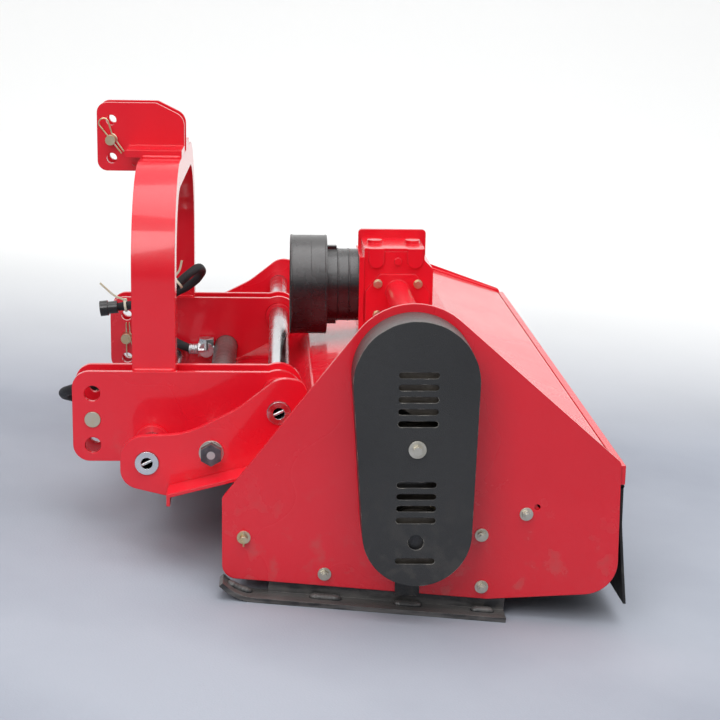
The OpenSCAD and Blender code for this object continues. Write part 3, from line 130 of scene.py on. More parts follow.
class Finish:
    """A material: constants go on the shader's own sockets, and what varies is fed through nodes."""

    def __init__(self, name, **constants):
        self.material = bpy.data.materials.new(name)
        self.material.use_nodes = True
        self.tree = self.material.node_tree
        self.shader = self.tree.nodes["Principled BSDF"]
        for socket, value in constants.items():
            self.shader.inputs[socket.replace("_", " ")].default_value = value
        self.place = self.node("ShaderNodeTexCoord", out="Object")

    def node(self, kind, settings=None, sockets=None, out=0):
        """Makes a node: its settings first, then values or wires on its sockets, and gives one output."""
        made = self.tree.nodes.new(kind)
        for key, value in (settings or {}).items():
            setattr(made, key, value)
        for key, value in (sockets or {}).items():
            if isinstance(value, Wire):
                self.tree.links.new(value.socket, made.inputs[key])
            else:
                made.inputs[key].default_value = value
        return Wire(self, made.outputs[out])

    def noise(self, scale, detail=3.0, stretch=(1, 1, 1), sharp=(0.35, 0.65)):
        """Cloudy values from 0 to 1, spread over the sharp range; stretch squeezes the cloud along an axis."""
        where = self.node("ShaderNodeMapping", None, {"Vector": self.place, "Scale": stretch})
        cloud = self.node("ShaderNodeTexNoise", None, {"Vector": where, "Scale": scale, "Detail": detail})
        return self.between(cloud, *sharp)

    def between(self, value, low, high):
        """0 below low, 1 above high, straight in between."""
        return self.node("ShaderNodeMapRange", {"clamp": True}, {0: value, 1: low, 2: high})

    def mix(self, share, first, second):
        """The first colour where the share is 0 and the second where it is 1."""
        first, second = ((*c, 1) if isinstance(c, tuple) else c for c in (first, second))
        return self.node("ShaderNodeMix", {"data_type": "RGBA"}, {0: share, 6: first, 7: second}, out=2)

    def edges(self, radius):
        """1 along the solid's edges and 0 on its faces: how far a rounded normal leaves the true one."""
        rounded = self.node("ShaderNodeBevel", {"samples": 6}, {"Radius": radius})
        true = self.node("ShaderNodeNewGeometry", out="Normal")
        dot = self.node("ShaderNodeVectorMath", {"operation": "DOT_PRODUCT"}, {0: rounded, 1: true}, out="Value")
        return self.between(1 - dot, 0.02, 0.25), rounded

    def along(self, axis):
        """The place along one axis of the scene, in metres."""
        return self.node("ShaderNodeSeparateXYZ", None, {0: self.place}, out=axis)

    def low(self, top):
        """1 on the ground and 0 above the given height in metres."""
        return self.between(self.along("Z"), top, 0.0)

    def facing_up(self):
        """0 on upright faces and 1 on level ones: where dust comes to rest, and where a sheen of the bright sky is
        painted on.
        """
        true = self.node("ShaderNodeNewGeometry", out="Normal")
        return self.between(self.node("ShaderNodeSeparateXYZ", None, {0: true}, out="Z"), 0.1, 0.9)

    def bump(self, height, distance, strength, normal=None):
        sockets = {"Height": height, "Distance": distance, "Strength": strength}
        if normal is not None:
            sockets["Normal"] = normal
        return self.node("ShaderNodeBump", None, sockets, out="Normal")

    def feed(self, **wires):
        for socket, wire in wires.items():
            self.tree.links.new(wire.socket, self.shader.inputs[socket.replace("_", " ")])
        return self


print("wire and finish ready")

# %% [markdown]
# Red machine enamel goes on wet and thick. It has a clear gloss, a fine orange peel, and thin, paler edges where
# the paint pulls back from a sharp corner. One flat colour would look like plastic, so broad clouds shift the
# red, the sheet under it is gently wavy, and a little dust gathers low down. Behind the belt cover the plate is
# darkened to grey-brown inside an ellipse about the middle of the cover: painted shade, with the dust of the belts.

# %% Red enamel
COVER_SHADE_HALF_WIDE, COVER_SHADE_HALF_HIGH = 0.082, 0.205


def red_enamel(name="red_enamel", cover_shade_centre=None):
    f = Finish(name, Specular_IOR_Level=0.4, Coat_Roughness=0.06)
    cloud, peel, sheet = f.noise(2.5), f.noise(520, 2), f.noise(7, 1)
    edge, rounded = f.edges(0.0022)
    spots = f.noise(36, 5, sharp=(0.56, 0.72))
    red = f.mix(cloud, (0.72, 0.006, 0.018), (0.80, 0.010, 0.026))
    red = f.mix(edge * 0.30, red, (0.84, 0.07, 0.08))
    red = f.mix(f.low(0.22) * spots * 0.30, red, (0.33, 0.20, 0.17))
    if cover_shade_centre is not None:
        # Painted shade, with belt dust: inside the ellipse behind the cover the red turns dark grey-brown.
        x, y, z = (f.along(a) for a in "XYZ")
        ring = ((y - cover_shade_centre[1]) / COVER_SHADE_HALF_WIDE) ** 2 + ((z - cover_shade_centre[2]) / COVER_SHADE_HALF_HIGH) ** 2
        behind = f.between(ring, 1.1, 0.9) * f.between(x, cover_shade_centre[0] - 0.001, cover_shade_centre[0] - 0.0005)
        red = f.mix(behind, red, (0.10, 0.085, 0.07))
    skin = f.bump(peel * 0.5 + sheet * 4, 0.0008, 0.28, rounded)
    return f.feed(Base_Color=red, Roughness=0.20 + 0.10 * cloud + 0.16 * spots * f.low(0.3),
                  Coat_Weight=0.6 - 0.3 * edge, Normal=skin)


RED, RED_SHADED_BEHIND_COVER = red_enamel(), red_enamel("red_shaded_behind_cover", machine([760, 544, 35]))
print(RED.material.name, "has", len(RED.tree.nodes), "nodes")

# %% [markdown]
# Black parts are of four kinds: satin paint on steel, which wears to grey on its edges, the scuffed skids, whose
# soles slide on the ground, the belt cover's coarse powder coat with its pale chips, and moulded plastic with a
# fine grain. They share one recipe with different numbers.

# %% Black paint and plastic
def black_coat(name, colour, worn, gloss, wear, grain_scale, grain_depth, scuff=0.0):
    f = Finish(name, Specular_IOR_Level=0.5, Coat_Roughness=0.2)
    cloud, grain = f.noise(4), f.noise(grain_scale, 2)
    edge, rounded = f.edges(0.0018)
    rubbed = f.noise(48, 6, sharp=(0.48, 0.62))
    sole = f.low(0.03) * f.noise(90, 6, (1, 0.12, 1), (0.40, 0.60)) * scuff
    tone = f.mix(cloud, colour, tuple(1.7 * c for c in colour))
    tone = f.mix(edge * rubbed * wear, tone, worn)
    tone = f.mix(sole, tone, (0.24, 0.23, 0.22))
    tone = f.mix(f.low(0.25) * rubbed * 0.10, tone, (0.30, 0.26, 0.22))
    # Level faces are painted paler: dust, and a painted sheen of the bright sky on their tops.
    tone = f.mix(f.facing_up() * (0.3 + 0.5 * cloud), tone, (0.13, 0.125, 0.12))
    return f.feed(Base_Color=tone, Roughness=gloss + 0.14 * cloud + 0.10 * rubbed,
                  Coat_Weight=0.25 - 0.2 * edge, Metallic=sole * 0.7,
                  Normal=f.bump(grain, grain_depth, 0.35, rounded))


BLACK = black_coat("satin_black", (0.010, 0.010, 0.011), (0.12, 0.12, 0.12), 0.30, 0.6, 380, 0.0005)
SKID = black_coat("skid_black", (0.012, 0.012, 0.013), (0.22, 0.21, 0.20), 0.28, 0.9, 300, 0.0007, 0.8)
COVER = black_coat("cover_black", (0.013, 0.013, 0.013), (0.46, 0.42, 0.36), 0.40, 1.0, 620, 0.0011)
PLASTIC = black_coat("grained_plastic", (0.010, 0.010, 0.011), (0.06, 0.06, 0.065), 0.20, 0.3, 900, 0.0001)
print([b.material.name for b in (BLACK, SKID, COVER, PLASTIC)])

# %% [markdown]
# Bare metals differ in colour and in the direction of their fine scratches. Chrome is nearly a mirror, turned
# steel is brushed round, yellow zinc has a faint rainbow cloud, and forged iron is dark and rough.

# %% Bare metals
def metal(name, first, second, gloss, brush, depth, stretch=(1, 1, 1)):
    f = Finish(name, Metallic=1.0)
    cloud = f.noise(26, 4)
    lines = f.noise(brush, 4, stretch)
    edge, rounded = f.edges(0.0010)
    tone = f.mix(cloud, first, second)
    tone = f.mix(edge * 0.3, tone, tuple(min(1.0, 1.25 * c) for c in second))
    return f.feed(Base_Color=tone, Roughness=gloss + 0.14 * lines + 0.08 * cloud,
                  Normal=f.bump(lines, depth, 0.3, rounded))


CHROME = metal("hard_chrome", (0.66, 0.67, 0.69), (0.76, 0.77, 0.79), 0.12, 60, 0.00001, (0.04, 1, 1))
STEEL = metal("turned_steel", (0.42, 0.42, 0.43), (0.56, 0.56, 0.57), 0.26, 420, 0.0003, (1, 0.1, 0.1))
ZINC = metal("yellow_zinc", (0.66, 0.52, 0.26), (0.70, 0.63, 0.50), 0.24, 300, 0.0003)
SILVER_ZINC = metal("silver_zinc", (0.56, 0.57, 0.58), (0.68, 0.69, 0.69), 0.22, 300, 0.0003)
PALE_ZINC = metal("pale_zinc", (0.60, 0.56, 0.46), (0.72, 0.69, 0.62), 0.30, 300, 0.0003)
DULL = metal("dull_iron", (0.11, 0.095, 0.08), (0.17, 0.15, 0.125), 0.48, 200, 0.0006)
IRON = metal("forged_iron", (0.050, 0.047, 0.045), (0.10, 0.092, 0.085), 0.45, 120, 0.0016)
print([m.material.name for m in (CHROME, STEEL, ZINC, SILVER_ZINC, PALE_ZINC, DULL, IRON)])

# %% [markdown]
# The nut that anchors the cylinder has three metals in one solid: a blackened nut, a bright bolt end in its
# middle and a pale washer under it. The distance from the bolt's axis and the place along it tell them apart.

# %% Anchor nut
def anchor_nut(axis, bolt_r, washer_x):
    """Bright inside the bolt's radius, pale inside the washer's plane, dark elsewhere; all on one metal."""
    f = Finish("anchor_nut", Metallic=1.0)
    x, y, z = (f.along(a) for a in "XYZ")
    radius = ((y - axis[1]) ** 2 + (z - axis[2]) ** 2) ** 0.5
    cloud, grain = f.noise(60, 4), f.noise(400, 3)
    edge, rounded = f.edges(0.0012)
    tone = f.mix(cloud, (0.10, 0.10, 0.11), (0.20, 0.20, 0.21))
    tone = f.mix(f.between(radius, bolt_r + 0.0006, bolt_r - 0.0006), tone, (0.66, 0.66, 0.64))
    tone = f.mix(f.between(x, washer_x + 0.0002, washer_x - 0.0002), tone, (0.68, 0.66, 0.60))
    tone = f.mix(edge * 0.4, tone, (0.5, 0.5, 0.5))
    return f.feed(Base_Color=tone, Roughness=0.30 + 0.15 * grain, Normal=f.bump(grain, 0.0004, 0.3, rounded))


ANCHOR = anchor_nut(machine([604, 214, -21]), 0.007, machine([608.2, 214, -21])[0])
print(ANCHOR.material.name)

# %% [markdown]
# Rubber is matt and picks up dust. The flap is a cut sheet with faint lines from the calender that rolled it.
# The hoses wear a woven sleeve: its weave follows the hose, so it is drawn on the surface's own UV map.

# %% Rubber, sleeve and tie plastic
def rubber(name, stretch):
    f = Finish(name, Specular_IOR_Level=0.35)
    lines, cloud, dust = f.noise(160, 3, stretch), f.noise(6), f.noise(60, 6, sharp=(0.50, 0.75))
    tone = f.mix(cloud, (0.012, 0.012, 0.013), (0.024, 0.024, 0.025))
    tone = f.mix(dust * (0.05 + 0.22 * f.low(0.2)), tone, (0.24, 0.22, 0.19))
    return f.feed(Base_Color=tone, Roughness=0.55 + 0.2 * cloud + 0.1 * dust, Normal=f.bump(lines, 0.0006, 0.4))


def woven_sleeve(threads, turns):
    """Two sets of threads cross at a slant: the height is the larger of two waves of u and v."""
    f = Finish("woven_sleeve", Specular_IOR_Level=0.3)
    uv = f.node("ShaderNodeUVMap")
    u = f.node("ShaderNodeSeparateXYZ", None, {0: uv}, out="X")
    v = f.node("ShaderNodeSeparateXYZ", None, {0: uv}, out="Y")
    one = f.node("ShaderNodeMath", {"operation": "SINE"}, {0: (u * threads + v * turns) * (2 * math.pi)})
    two = f.node("ShaderNodeMath", {"operation": "SINE"}, {0: (u * threads - v * turns) * (2 * math.pi)})
    weave = f.node("ShaderNodeMath", {"operation": "MAXIMUM"}, {0: one, 1: two}) * 0.5 + 0.5
    cloud = f.noise(30, 4)
    tone = f.mix(weave * (0.6 + 0.4 * cloud), (0.006, 0.006, 0.007), (0.034, 0.034, 0.037))
    return f.feed(Base_Color=tone, Roughness=0.72 - 0.2 * weave, Normal=f.bump(weave, 0.0008, 0.6))


def tie_plastic():
    f = Finish("tie_plastic", Subsurface_Weight=0.1, Specular_IOR_Level=0.45)
    ribs, cloud = f.noise(700, 1, (1, 0.1, 1)), f.noise(40)
    tone = f.mix(cloud, (0.66, 0.60, 0.42), (0.74, 0.70, 0.56))
    return f.feed(Base_Color=tone, Roughness=0.38 + 0.15 * cloud, Normal=f.bump(ribs, 0.0004, 0.4))


RUBBER, BELTING = rubber("flap_rubber", (0.05, 1, 1)), rubber("belt_rubber", (1, 0.3, 0.3))
SLEEVE, TIE = woven_sleeve(14, 150), tie_plastic()
print(RUBBER.material.name, BELTING.material.name, SLEEVE.material.name, TIE.material.name)

# %% [markdown]
# Each solid now gets its finish. The record names a slot for every solid, so one table from slot to finish does
# nearly all of them, and a second, shorter one names the few that differ.

# %% Finishes on the solids
BY_SLOT = {"red_paint": RED, "black_paint": BLACK, "black_plastic": PLASTIC, "black_rubber": RUBBER,
           "chrome": CHROME, "steel": STEEL, "zinc": ZINC, "cast_iron": IRON, "pale_plastic": TIE}
BY_NODE = {"left_skid": SKID, "right_skid": SKID, "belt_cover": COVER, "cover_bolt": PALE_ZINC, "ram_anchor": ANCHOR,
           "hydraulic_fittings": SILVER_ZINC, "plate_bolts": PALE_ZINC, "bar_pins": SILVER_ZINC, "lower_pins": ZINC,
           "top_link_pin": ZINC, "drive_belts": BELTING, "drive_pulley": DULL, "rotor_pulley": DULL,
           "cross_shaft": DULL, "left_side_plate": RED_SHADED_BEHIND_COVER}
for part in frame["record"]["subparts"]:
    solid = frame["nodes"][part["node"]]
    finish = BY_NODE.get(part["node"], BY_SLOT[part["material_slot"]])
    solid.data.materials.clear()
    solid.data.materials.append(finish.material)
print("finished", len(frame["nodes"]), "solids with", len(set(BY_SLOT.values()) | set(BY_NODE.values())), "finishes")

# %% [markdown]
# New pieces are grids of points: rows one way, columns the other. A grid can close on itself either way, as a
# tube does round its girth and a belt does along its length too. Its ends can be closed by a fan of triangles.
# Several grids may make one piece, and all of it is worked out as whole arrays.

# %% Grids into pieces
def patch(points, around=False, along=False, caps=False):
    """Quads join each point to its right and upper neighbours; uv is the share of the way along each side."""
    n, m = points.shape[:2]
    label = np.arange(n * m).reshape(n, m)
    rows, columns = np.arange(n if along else n - 1)[:, None], np.arange(m if around else m - 1)[None]
    steps = ((0, 0), (0, 1), (1, 1), (1, 0))
    quads = np.stack([label[(rows + i) % n, (columns + j) % m] for i, j in steps], -1).reshape(-1, 4)
    shares = [np.broadcast_arrays((columns + j) / columns.size, (rows + i) / rows.size) for i, j in steps]
    uv = np.stack([np.stack(s, -1) for s in shares], 2).reshape(-1, 2)
    corners, tris = points.reshape(-1, 3), np.zeros((0, 3), int)
    if caps:
        corners = np.vstack([corners, points[0].mean(0), points[-1].mean(0)])
        ring, ahead = np.arange(m), (np.arange(m) + 1) % m
        first = np.stack([np.full(m, n * m), label[0, ahead], label[0, ring]], -1)
        last = np.stack([np.full(m, n * m + 1), label[-1, ring], label[-1, ahead]], -1)
        tris = np.vstack([first, last])
    return corners, quads, tris, np.vstack([uv, np.zeros((tris.size, 2))])


def piece(name, patches, finish, body):
    """Joins patches into one object in metres, gives it its finish, and lets it ride on a body."""
    starts = np.cumsum([0] + [len(p[0]) for p in patches[:-1]])
    corners = np.vstack([p[0] for p in patches])
    quads = np.vstack([p[1] + s for p, s in zip(patches, starts)])
    tris = np.vstack([p[2] + s for p, s in zip(patches, starts)])
    uv = np.vstack([p[3][:p[1].size] for p in patches] + [p[3][p[1].size:] for p in patches])
    mesh = bpy.data.meshes.new(name)
    mesh.vertices.add(len(corners))
    mesh.vertices.foreach_set("co", corners.ravel())
    mesh.loops.add(quads.size + tris.size)
    mesh.loops.foreach_set("vertex_index", np.concatenate([quads.ravel(), tris.ravel()]))
    mesh.polygons.add(len(quads) + len(tris))
    begin = np.concatenate([np.arange(len(quads)) * 4, quads.size + np.arange(len(tris)) * 3])
    mesh.polygons.foreach_set("loop_start", begin)
    mesh.update(calc_edges=True)
    mesh.uv_layers.new(name="along").data.foreach_set("uv", uv.ravel())
    mesh.polygons.foreach_set("use_smooth", np.ones(len(begin), bool))
    mesh.set_sharp_from_angle(angle=math.radians(50))
    mesh.materials.append(finish.material)
    made = bpy.data.objects.new(name, mesh)
    bpy.context.scene.collection.objects.link(made)
    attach(made, body)
    print(f"{name}: {len(corners)} points, {2 * len(quads) + len(tris)} triangles, on {body}")
    return made


# %% [markdown]
# Three ways to fill a grid cover this whole machine. A smooth curve runs through a few given points. A sweep
# carries an outline along such a path. A lathe turns a profile round an axis.

# %% Curves, sweeps and lathes
def smooth(points, steps):
    """Catmull-Rom: between two points the curve is a cubic that leaves each in the direction of its neighbours."""
    p = np.asarray(points, float)
    p = np.vstack([2 * p[0] - p[1], p, 2 * p[-1] - p[-2]])
    t = (np.arange(steps) / steps)[:, None]
    a, b, c, d = (p[i:len(p) - 3 + i, None] for i in range(4))
    bend = 2 * b + (c - a) * t + (2 * a - 5 * b + 4 * c - d) * t**2 + (3 * b - a - 3 * c + d) * t**3
    return np.vstack([0.5 * bend.reshape(-1, p.shape[1]), p[-2]])


def sweep(path, outline, reference):
    """Path point plus outline: u is the reference made square to the path, w is the path's heading crossed with u."""
    heading = np.gradient(path, axis=0)
    heading /= np.linalg.norm(heading, axis=1, keepdims=True)
    u = np.asarray(reference, float) - heading * (heading @ np.asarray(reference, float))[:, None]
    u /= np.linalg.norm(u, axis=1, keepdims=True)
    w = np.cross(heading, u)
    return path[:, None] + outline[..., :1] * u[:, None] + outline[..., 1:] * w[:, None]


def circle(radius, n):
    """n points round a circle, the radius times the cosine and sine of equal angles."""
    angle = np.arange(n) * 2 * math.pi / n
    return np.asarray(radius)[..., None, None] * np.stack([np.cos(angle), np.sin(angle)], -1)


def lathe(centre, axis, profile, n=40):
    """Each profile pair is (along, radius): a circle of that radius, that far along the axis."""
    axis = np.asarray(axis, float) / np.linalg.norm(axis)
    profile = np.asarray(profile, float)
    path = np.asarray(centre, float) + profile[:, :1] * axis
    u = np.cross(axis, [0.3, 0.5, 0.8])
    u /= np.linalg.norm(u)
    ring = circle(profile[:, 1], n)
    return path[:, None] + ring[..., :1] * u + ring[..., 1:] * np.cross(axis, u)


print("a smooth curve through 3 points has", len(smooth([[0, 0], [1, 1], [2, 0]], 8)), "points")

# %% [markdown]
# The two hydraulic hoses run from the cylinder's ports to couplers at the hitch. They are tied and held at both
# ends, so they keep their route. A tube alone would look like wire: the real sleeve is loose, so its radius
# swells and creases along its length.

# %% Sleeved hoses
HITCH = np.array([98.0, 0, 0])
RIGHT_ROUTE = HITCH + [(-285.5, 154.3, -21), (-285.5, 145.7, -21), (-285, 129, -16.8), (-285, 107, -6),
                       (-285, 88, 11), (-285, 76, 34), (-285, 74, 58), (-284, 83, 81), (-281, 102, 100),
                       (-276, 126, 114),
                       (-266, 149, 132), (-247, 164, 153), (-221, 161, 168), (-197, 144, 162), (-184, 119, 141),
                       (-178, 88, 117), (-178, 52, 100), (-178, 10, 94), (-178, -6, 92)]
LEFT_ROUTE = HITCH + [(154.5, 154.3, -21), (154.5, 145.7, -21), (155, 129, -16), (155, 112, -9.5), (155, 92, -5),
                      (156, 66, -6), (157, 36, -11), (159, 4, -15), (167, -29, -15), (184, -55, -8), (214, -69.3, 5),
                      (246, -61, 19), (266, -38, 29), (275, -8, 35), (277, 24, 38)]


def sleeve(route, reference, radius=8.6, sides=28):
    """A tube whose radius is the hose's plus small waves: along its length, and slanting round it."""
    path = smooth(route, 14)
    s = np.concatenate([[0], np.cumsum(np.linalg.norm(np.diff(path, axis=0), axis=1))])[:, None]
    angle = np.arange(sides)[None] * 2 * math.pi / sides
    crease = 0.30 * np.sin(s / 5.5 + 2 * np.sin(angle)) + 0.22 * np.sin(s / 12.3 + 3 * angle)
    end = np.clip(np.minimum(s, s[-1] - s) / 14, 0, 1)
    girth = radius * (0.93 + 0.07 * end) + 0.55 * end + crease * end
    outline = girth[..., None] * np.stack(np.broadcast_arrays(np.cos(angle), np.sin(angle)), -1)
    return patch(machine(sweep(path, outline, reference)), around=True, caps=True)


right_sleeve = piece("right_hose_sleeve", [sleeve(RIGHT_ROUTE, (0.5, 0.3, -0.8))], SLEEVE, "hitch")
left_sleeve = piece("left_hose_sleeve", [sleeve(LEFT_ROUTE, (0, 0, 1))], SLEEVE, "hitch")
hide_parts("right_hose")
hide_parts("left_hose")

# %% [markdown]
# Where a hose meets its fitting, a steel ferrule is crimped over it in a press with eight jaws. Its profile is a
# lathe: a lip, a row of shallow grooves, and a rounded end.

# %% Crimped ferrules
def ferrule(base, toward, radius=11.4, length=20):
    """A sleeve with three crimp grooves: the radius dips by a cosine at each groove."""
    along = np.linspace(0, length, 40)
    dip = 0.9 * np.clip(np.cos((along - 4) / (length - 8) * 6 * math.pi), 0, 1) * ((along > 4) & (along < length - 4))
    lip = np.clip(np.minimum(along, length - along) / 1.5, 0, 1) ** 0.5
    heading = np.asarray(toward, float) - np.asarray(base, float)
    return patch(machine(lathe(base, heading, np.stack([along, (radius - 2) + 2 * lip - dip], -1), 32)),
                 around=True, caps=True)


piece("hose_ferrules", [ferrule(r[0], r[1]) for r in (RIGHT_ROUTE, LEFT_ROUTE)], SILVER_ZINC, "hitch")

# %% [markdown]
# Two nylon ties hold the right hose, their tails left long. Each is a thin band wrapped round the hose, a small
# square head, and a tail that bends away. All three are outlines carried along paths.

# %% Hose ties
TIE_BAND = np.array([(-1.0, -2.4), (1.0, -2.4), (1.3, -2.0), (1.3, 2.0), (1.0, 2.4), (-1.0, 2.4)])


def tie(at, heading, tail, radius=11.0):
    """The band is a circle round the hose; the tail is a smooth curve through the given points."""
    heading = np.asarray(heading, float) / np.linalg.norm(heading)
    u = np.cross(heading, (1, 0, 0))
    u /= np.linalg.norm(u)
    turn = np.linspace(0, 2 * math.pi, 40, endpoint=False)[:, None]
    band = np.asarray(at) + radius * (np.cos(turn) * u + np.sin(turn) * np.cross(heading, u))
    radial = (band - at) / radius
    loop = band[:, None] + TIE_BAND[:, :1] * radial[:, None] + TIE_BAND[:, 1:] * heading
    strip = sweep(smooth(tail, 10), TIE_BAND * [0.6, 0.9], (1, 0, 0))
    head = sweep(np.asarray(tail[0]) + np.linspace(-3.5, 3.5, 6)[:, None] * u, circle(4.2, 12), (1, 0, 0))
    return [patch(machine(loop[::-1]), around=True, along=True), patch(machine(strip), around=True, caps=True),
            patch(machine(head), around=True, caps=True)]


ties = (tie(RIGHT_ROUTE[14], (19, -56, -45), [(-86, 112, 150), (-86, 114, 158), (-84, 122, 170), (-82, 127, 190)])
        + tie(RIGHT_ROUTE[17], (0, -58, -8), [(-80, 9, 106), (-80, 2, 109), (-80, -16, 118), (-79, -42, 142)]))
hose_tie_bands = piece("hose_tie_bands", ties, TIE, "hitch")
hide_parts("hose_ties")

# %% [markdown]
# The rear flap is a sheet of belting with a bead along its top, held under the clamp bar. It hangs nearly
# straight and sweeps back at its foot. Its closed outline, down one face and up the other, is carried from side
# to side, with a slow wave that grows towards the free edge.

# %% Rear flap
def flap_sheet(half=751.0, bead=(888.5, -33.8), thick=5.0, bead_r=3.5, foot=204, columns=121):
    """Depth d runs from the bead to the foot; back = bend(d) + wave(x) * d squared; two faces a thickness apart."""
    depth = np.concatenate([np.linspace(0, foot - 6, 34), [foot - 2, foot]])
    sway = np.interp(depth, [0, 65, foot], [0, 0.5, 12])
    back = np.concatenate([sway + thick * 0.45, (sway - thick * 0.45)[::-1]])
    down = np.concatenate([depth, depth[::-1]])
    x = np.linspace(-half, half, columns)[:, None]
    wave = (1.6 * np.sin(x / 95) + 1.0 * np.sin(x / 41 + 1.3)) * (down / foot) ** 2
    y, z = bead[0] + back + wave, np.broadcast_to(bead[1] - down, wave.shape)
    sheet = np.stack([np.broadcast_to(x, wave.shape), y, z], -1)
    rim = circle(bead_r, 16)
    roll = np.stack([np.broadcast_to(x, (columns, 16)), bead[0] + rim[..., 0] + 0 * x,
                     bead[1] + rim[..., 1] + 0 * x], -1)
    face = len(depth)
    sides = [np.stack([sheet[i, :face], sheet[i, :face - 1:-1]])[::step] for i, step in ((0, 1), (-1, -1))]
    return [patch(machine(sheet), around=True), patch(machine(roll), around=True, caps=True)] + [
        patch(machine(s)) for s in sides]


rear_flap_sheet = piece("rear_flap_sheet", flap_sheet(), RUBBER, "rear_curtain")
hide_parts("rear_flap")

# %% [markdown]
# Three V-belts carry the drive from the gearbox shaft down to the rotor. A belt is a loop of constant outline:
# two arcs and two straight runs. Its outline is a wedge with a flat back, and its inner edge is notched.

# %% V-belts
GEARBOX_SHAFT, ROTOR_SHAFT = (564, 158), (545, -101)
FIRST_BELT, BELT_PITCH, BELTS = 778.4, 15.8, 3


def belt(x, top=GEARBOX_SHAFT, low=ROTOR_SHAFT, top_r=61.5, low_r=49.5, wide=11.0, deep=9.0):
    """The outer line touches both circles. Notches along the inner edge are a wave of the distance run."""
    line = np.subtract(low, top)
    gap = np.linalg.norm(line)
    tilt = math.acos((top_r - low_r) / gap)
    down = math.atan2(line[1], line[0])
    a = np.linspace(down + tilt, down + 2 * math.pi - tilt, 90)
    b = np.linspace(down - tilt, down + tilt, 70)
    arc = [np.array(c) + r * np.stack([np.cos(t), np.sin(t)], -1) for c, r, t in ((top, top_r, a), (low, low_r, b))]
    share = np.linspace(0, 1, 62)[1:-1, None]
    runs = [arc[0][-1] + share * (arc[1][0] - arc[0][-1]), arc[1][-1] + share * (arc[0][0] - arc[1][-1])]
    loop = np.vstack([arc[0], runs[0], arc[1], runs[1]])
    ahead = np.roll(loop, -1, 0) - np.roll(loop, 1, 0)
    ahead /= np.linalg.norm(ahead, axis=1, keepdims=True)
    inward = np.stack([-ahead[:, 1], ahead[:, 0]], -1)
    run = np.cumsum(np.linalg.norm(np.diff(loop, axis=0, prepend=loop[:1]), axis=1))
    notch = 0.8 * (np.sin(run / 1.9) > 0.55)
    across = np.array([0.0, 0.4, wide - 0.4, wide, wide - 1.9, wide - 2.3, 2.3, 1.9])
    inset = np.array([0.4, 0.0, 0.0, 0.4, deep - 0.5, deep, deep, deep - 0.5])
    depth = inset - notch[:, None] * (inset > deep - 1)
    flat = loop[:, None] + depth[..., None] * inward[:, None]
    points = np.stack([np.broadcast_to(x + across, depth.shape), flat[..., 0], flat[..., 1]], -1)
    return patch(machine(points), around=True, along=True)


v_belts = piece("v_belts", [belt(FIRST_BELT + BELT_PITCH * i) for i in range(BELTS)], BELTING, "deck")
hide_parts("drive_belts")

# %% [markdown]
# Plates are joined by welding, and the beads show under the paint as a string of small overlapping ripples. A
# bead is a round outline carried along the joint, whose radius ripples with the distance and tapers at its ends.

# %% Weld beads
def bead(path, radius, flat=1.0, steps=10, pitch=3.2):
    """radius * (0.97 + 0.03 |sin|) along the run, rounded off over the last radius at both ends."""
    path = smooth(path, steps)
    s = np.concatenate([[0], np.cumsum(np.linalg.norm(np.diff(path, axis=0), axis=1))])
    end = np.clip(np.minimum(s, s[-1] - s) / (1.4 * radius), 0, 1)
    swell = radius * (0.97 + 0.03 * np.abs(np.sin(s * math.pi / pitch / 2))) * np.sqrt(1 - (1 - end) ** 2 * 0.96)
    return sweep(path, circle(swell, 14) * [flat, 1.0], (0, 0, 1))


def sole_top(back):
    """Height of the skid's upper face: level, then the toe's inner arc of 82 mm about a centre 90 mm up."""
    ahead = np.clip(309 - np.asarray(back, float), 0, 80)
    return 90 - np.sqrt(82.0**2 - ahead**2)


def sole_bead(x, start, end):
    back = np.linspace(start, end, 8)
    return patch(on_floor(bead(np.stack([np.full(8, x), back, sole_top(back) + 0.5], -1), 8.5, 0.8)), True, caps=True)


SKID_SIDE = 765
SOLE_BEADS = ((262, 303), (396, 450), (535, 582), (662, 702))
piece("left_skid_beads", [sole_bead(SKID_SIDE, a, b) for a, b in SOLE_BEADS], BLACK, "deck")
piece("right_skid_beads", [sole_bead(-SKID_SIDE, a, b) for a, b in SOLE_BEADS], BLACK, "deck")

# %% [markdown]
# The red plates are welded as well. A fillet runs where the legs of the arch enter the clevis plates, round the
# saddle of the top-link plates, along the foot of the gearbox, and down both ends of the hood. Each is the same
# bead on another line, mirrored to the other side of the hitch or the deck.

# %% Welds under the red paint
def run_of(x, back, up, n=24):
    """A dense line at one side place, whose height follows the given corners."""
    y = np.linspace(back[0], back[-1], n)
    return np.stack([np.full(n, float(x)), y, np.interp(y, back, up)], -1)


def weld(path, radius, middle=0.0):
    """One bead, and its mirror image about the plane at the given side place."""
    points = bead(path, radius, steps=6, pitch=2.6)
    other = points * [-1, 1, 1] + [2 * middle, 0, 0]
    return [patch(machine(points), True, caps=True), patch(machine(other[:, ::-1]), True, caps=True)]


HOOD_BACK, HOOD_UP = [256, 390, 690, 878], [-104, 43, 67, 6]
LEG_BACK, CLEVIS_TOP, SADDLE_TOP = [72, 144], [88, 88], [436.5, 436.5]
middle = HITCH[0]
link_line = np.stack([np.full(16, 134.5), np.full(16, 69.0), np.linspace(404, 432, 16)], -1)
hitch_welds = (weld(run_of(464, LEG_BACK, CLEVIS_TOP), 3.6, middle)
               + weld(run_of(415, LEG_BACK, CLEVIS_TOP), 3.6, middle)
               + weld(run_of(227, LEG_BACK, SADDLE_TOP), 3.8, middle) + weld(link_line, 3.4, middle))
deck_welds = (weld(run_of(62.5, [507, 625], [52.4, 61.8]), 3.8) + weld(run_of(752.5, HOOD_BACK, HOOD_UP, 90), 3.0))
piece("hitch_welds", hitch_welds, RED, "hitch")
piece("deck_welds", deck_welds, RED, "deck")

# %% [markdown]
# The shield over the input shaft is moulded. A plain cut edge would look like sheet, so its mouth has a rolled lip
# and its skirt two raised rings. Each is a small round profile turned about the shaft.

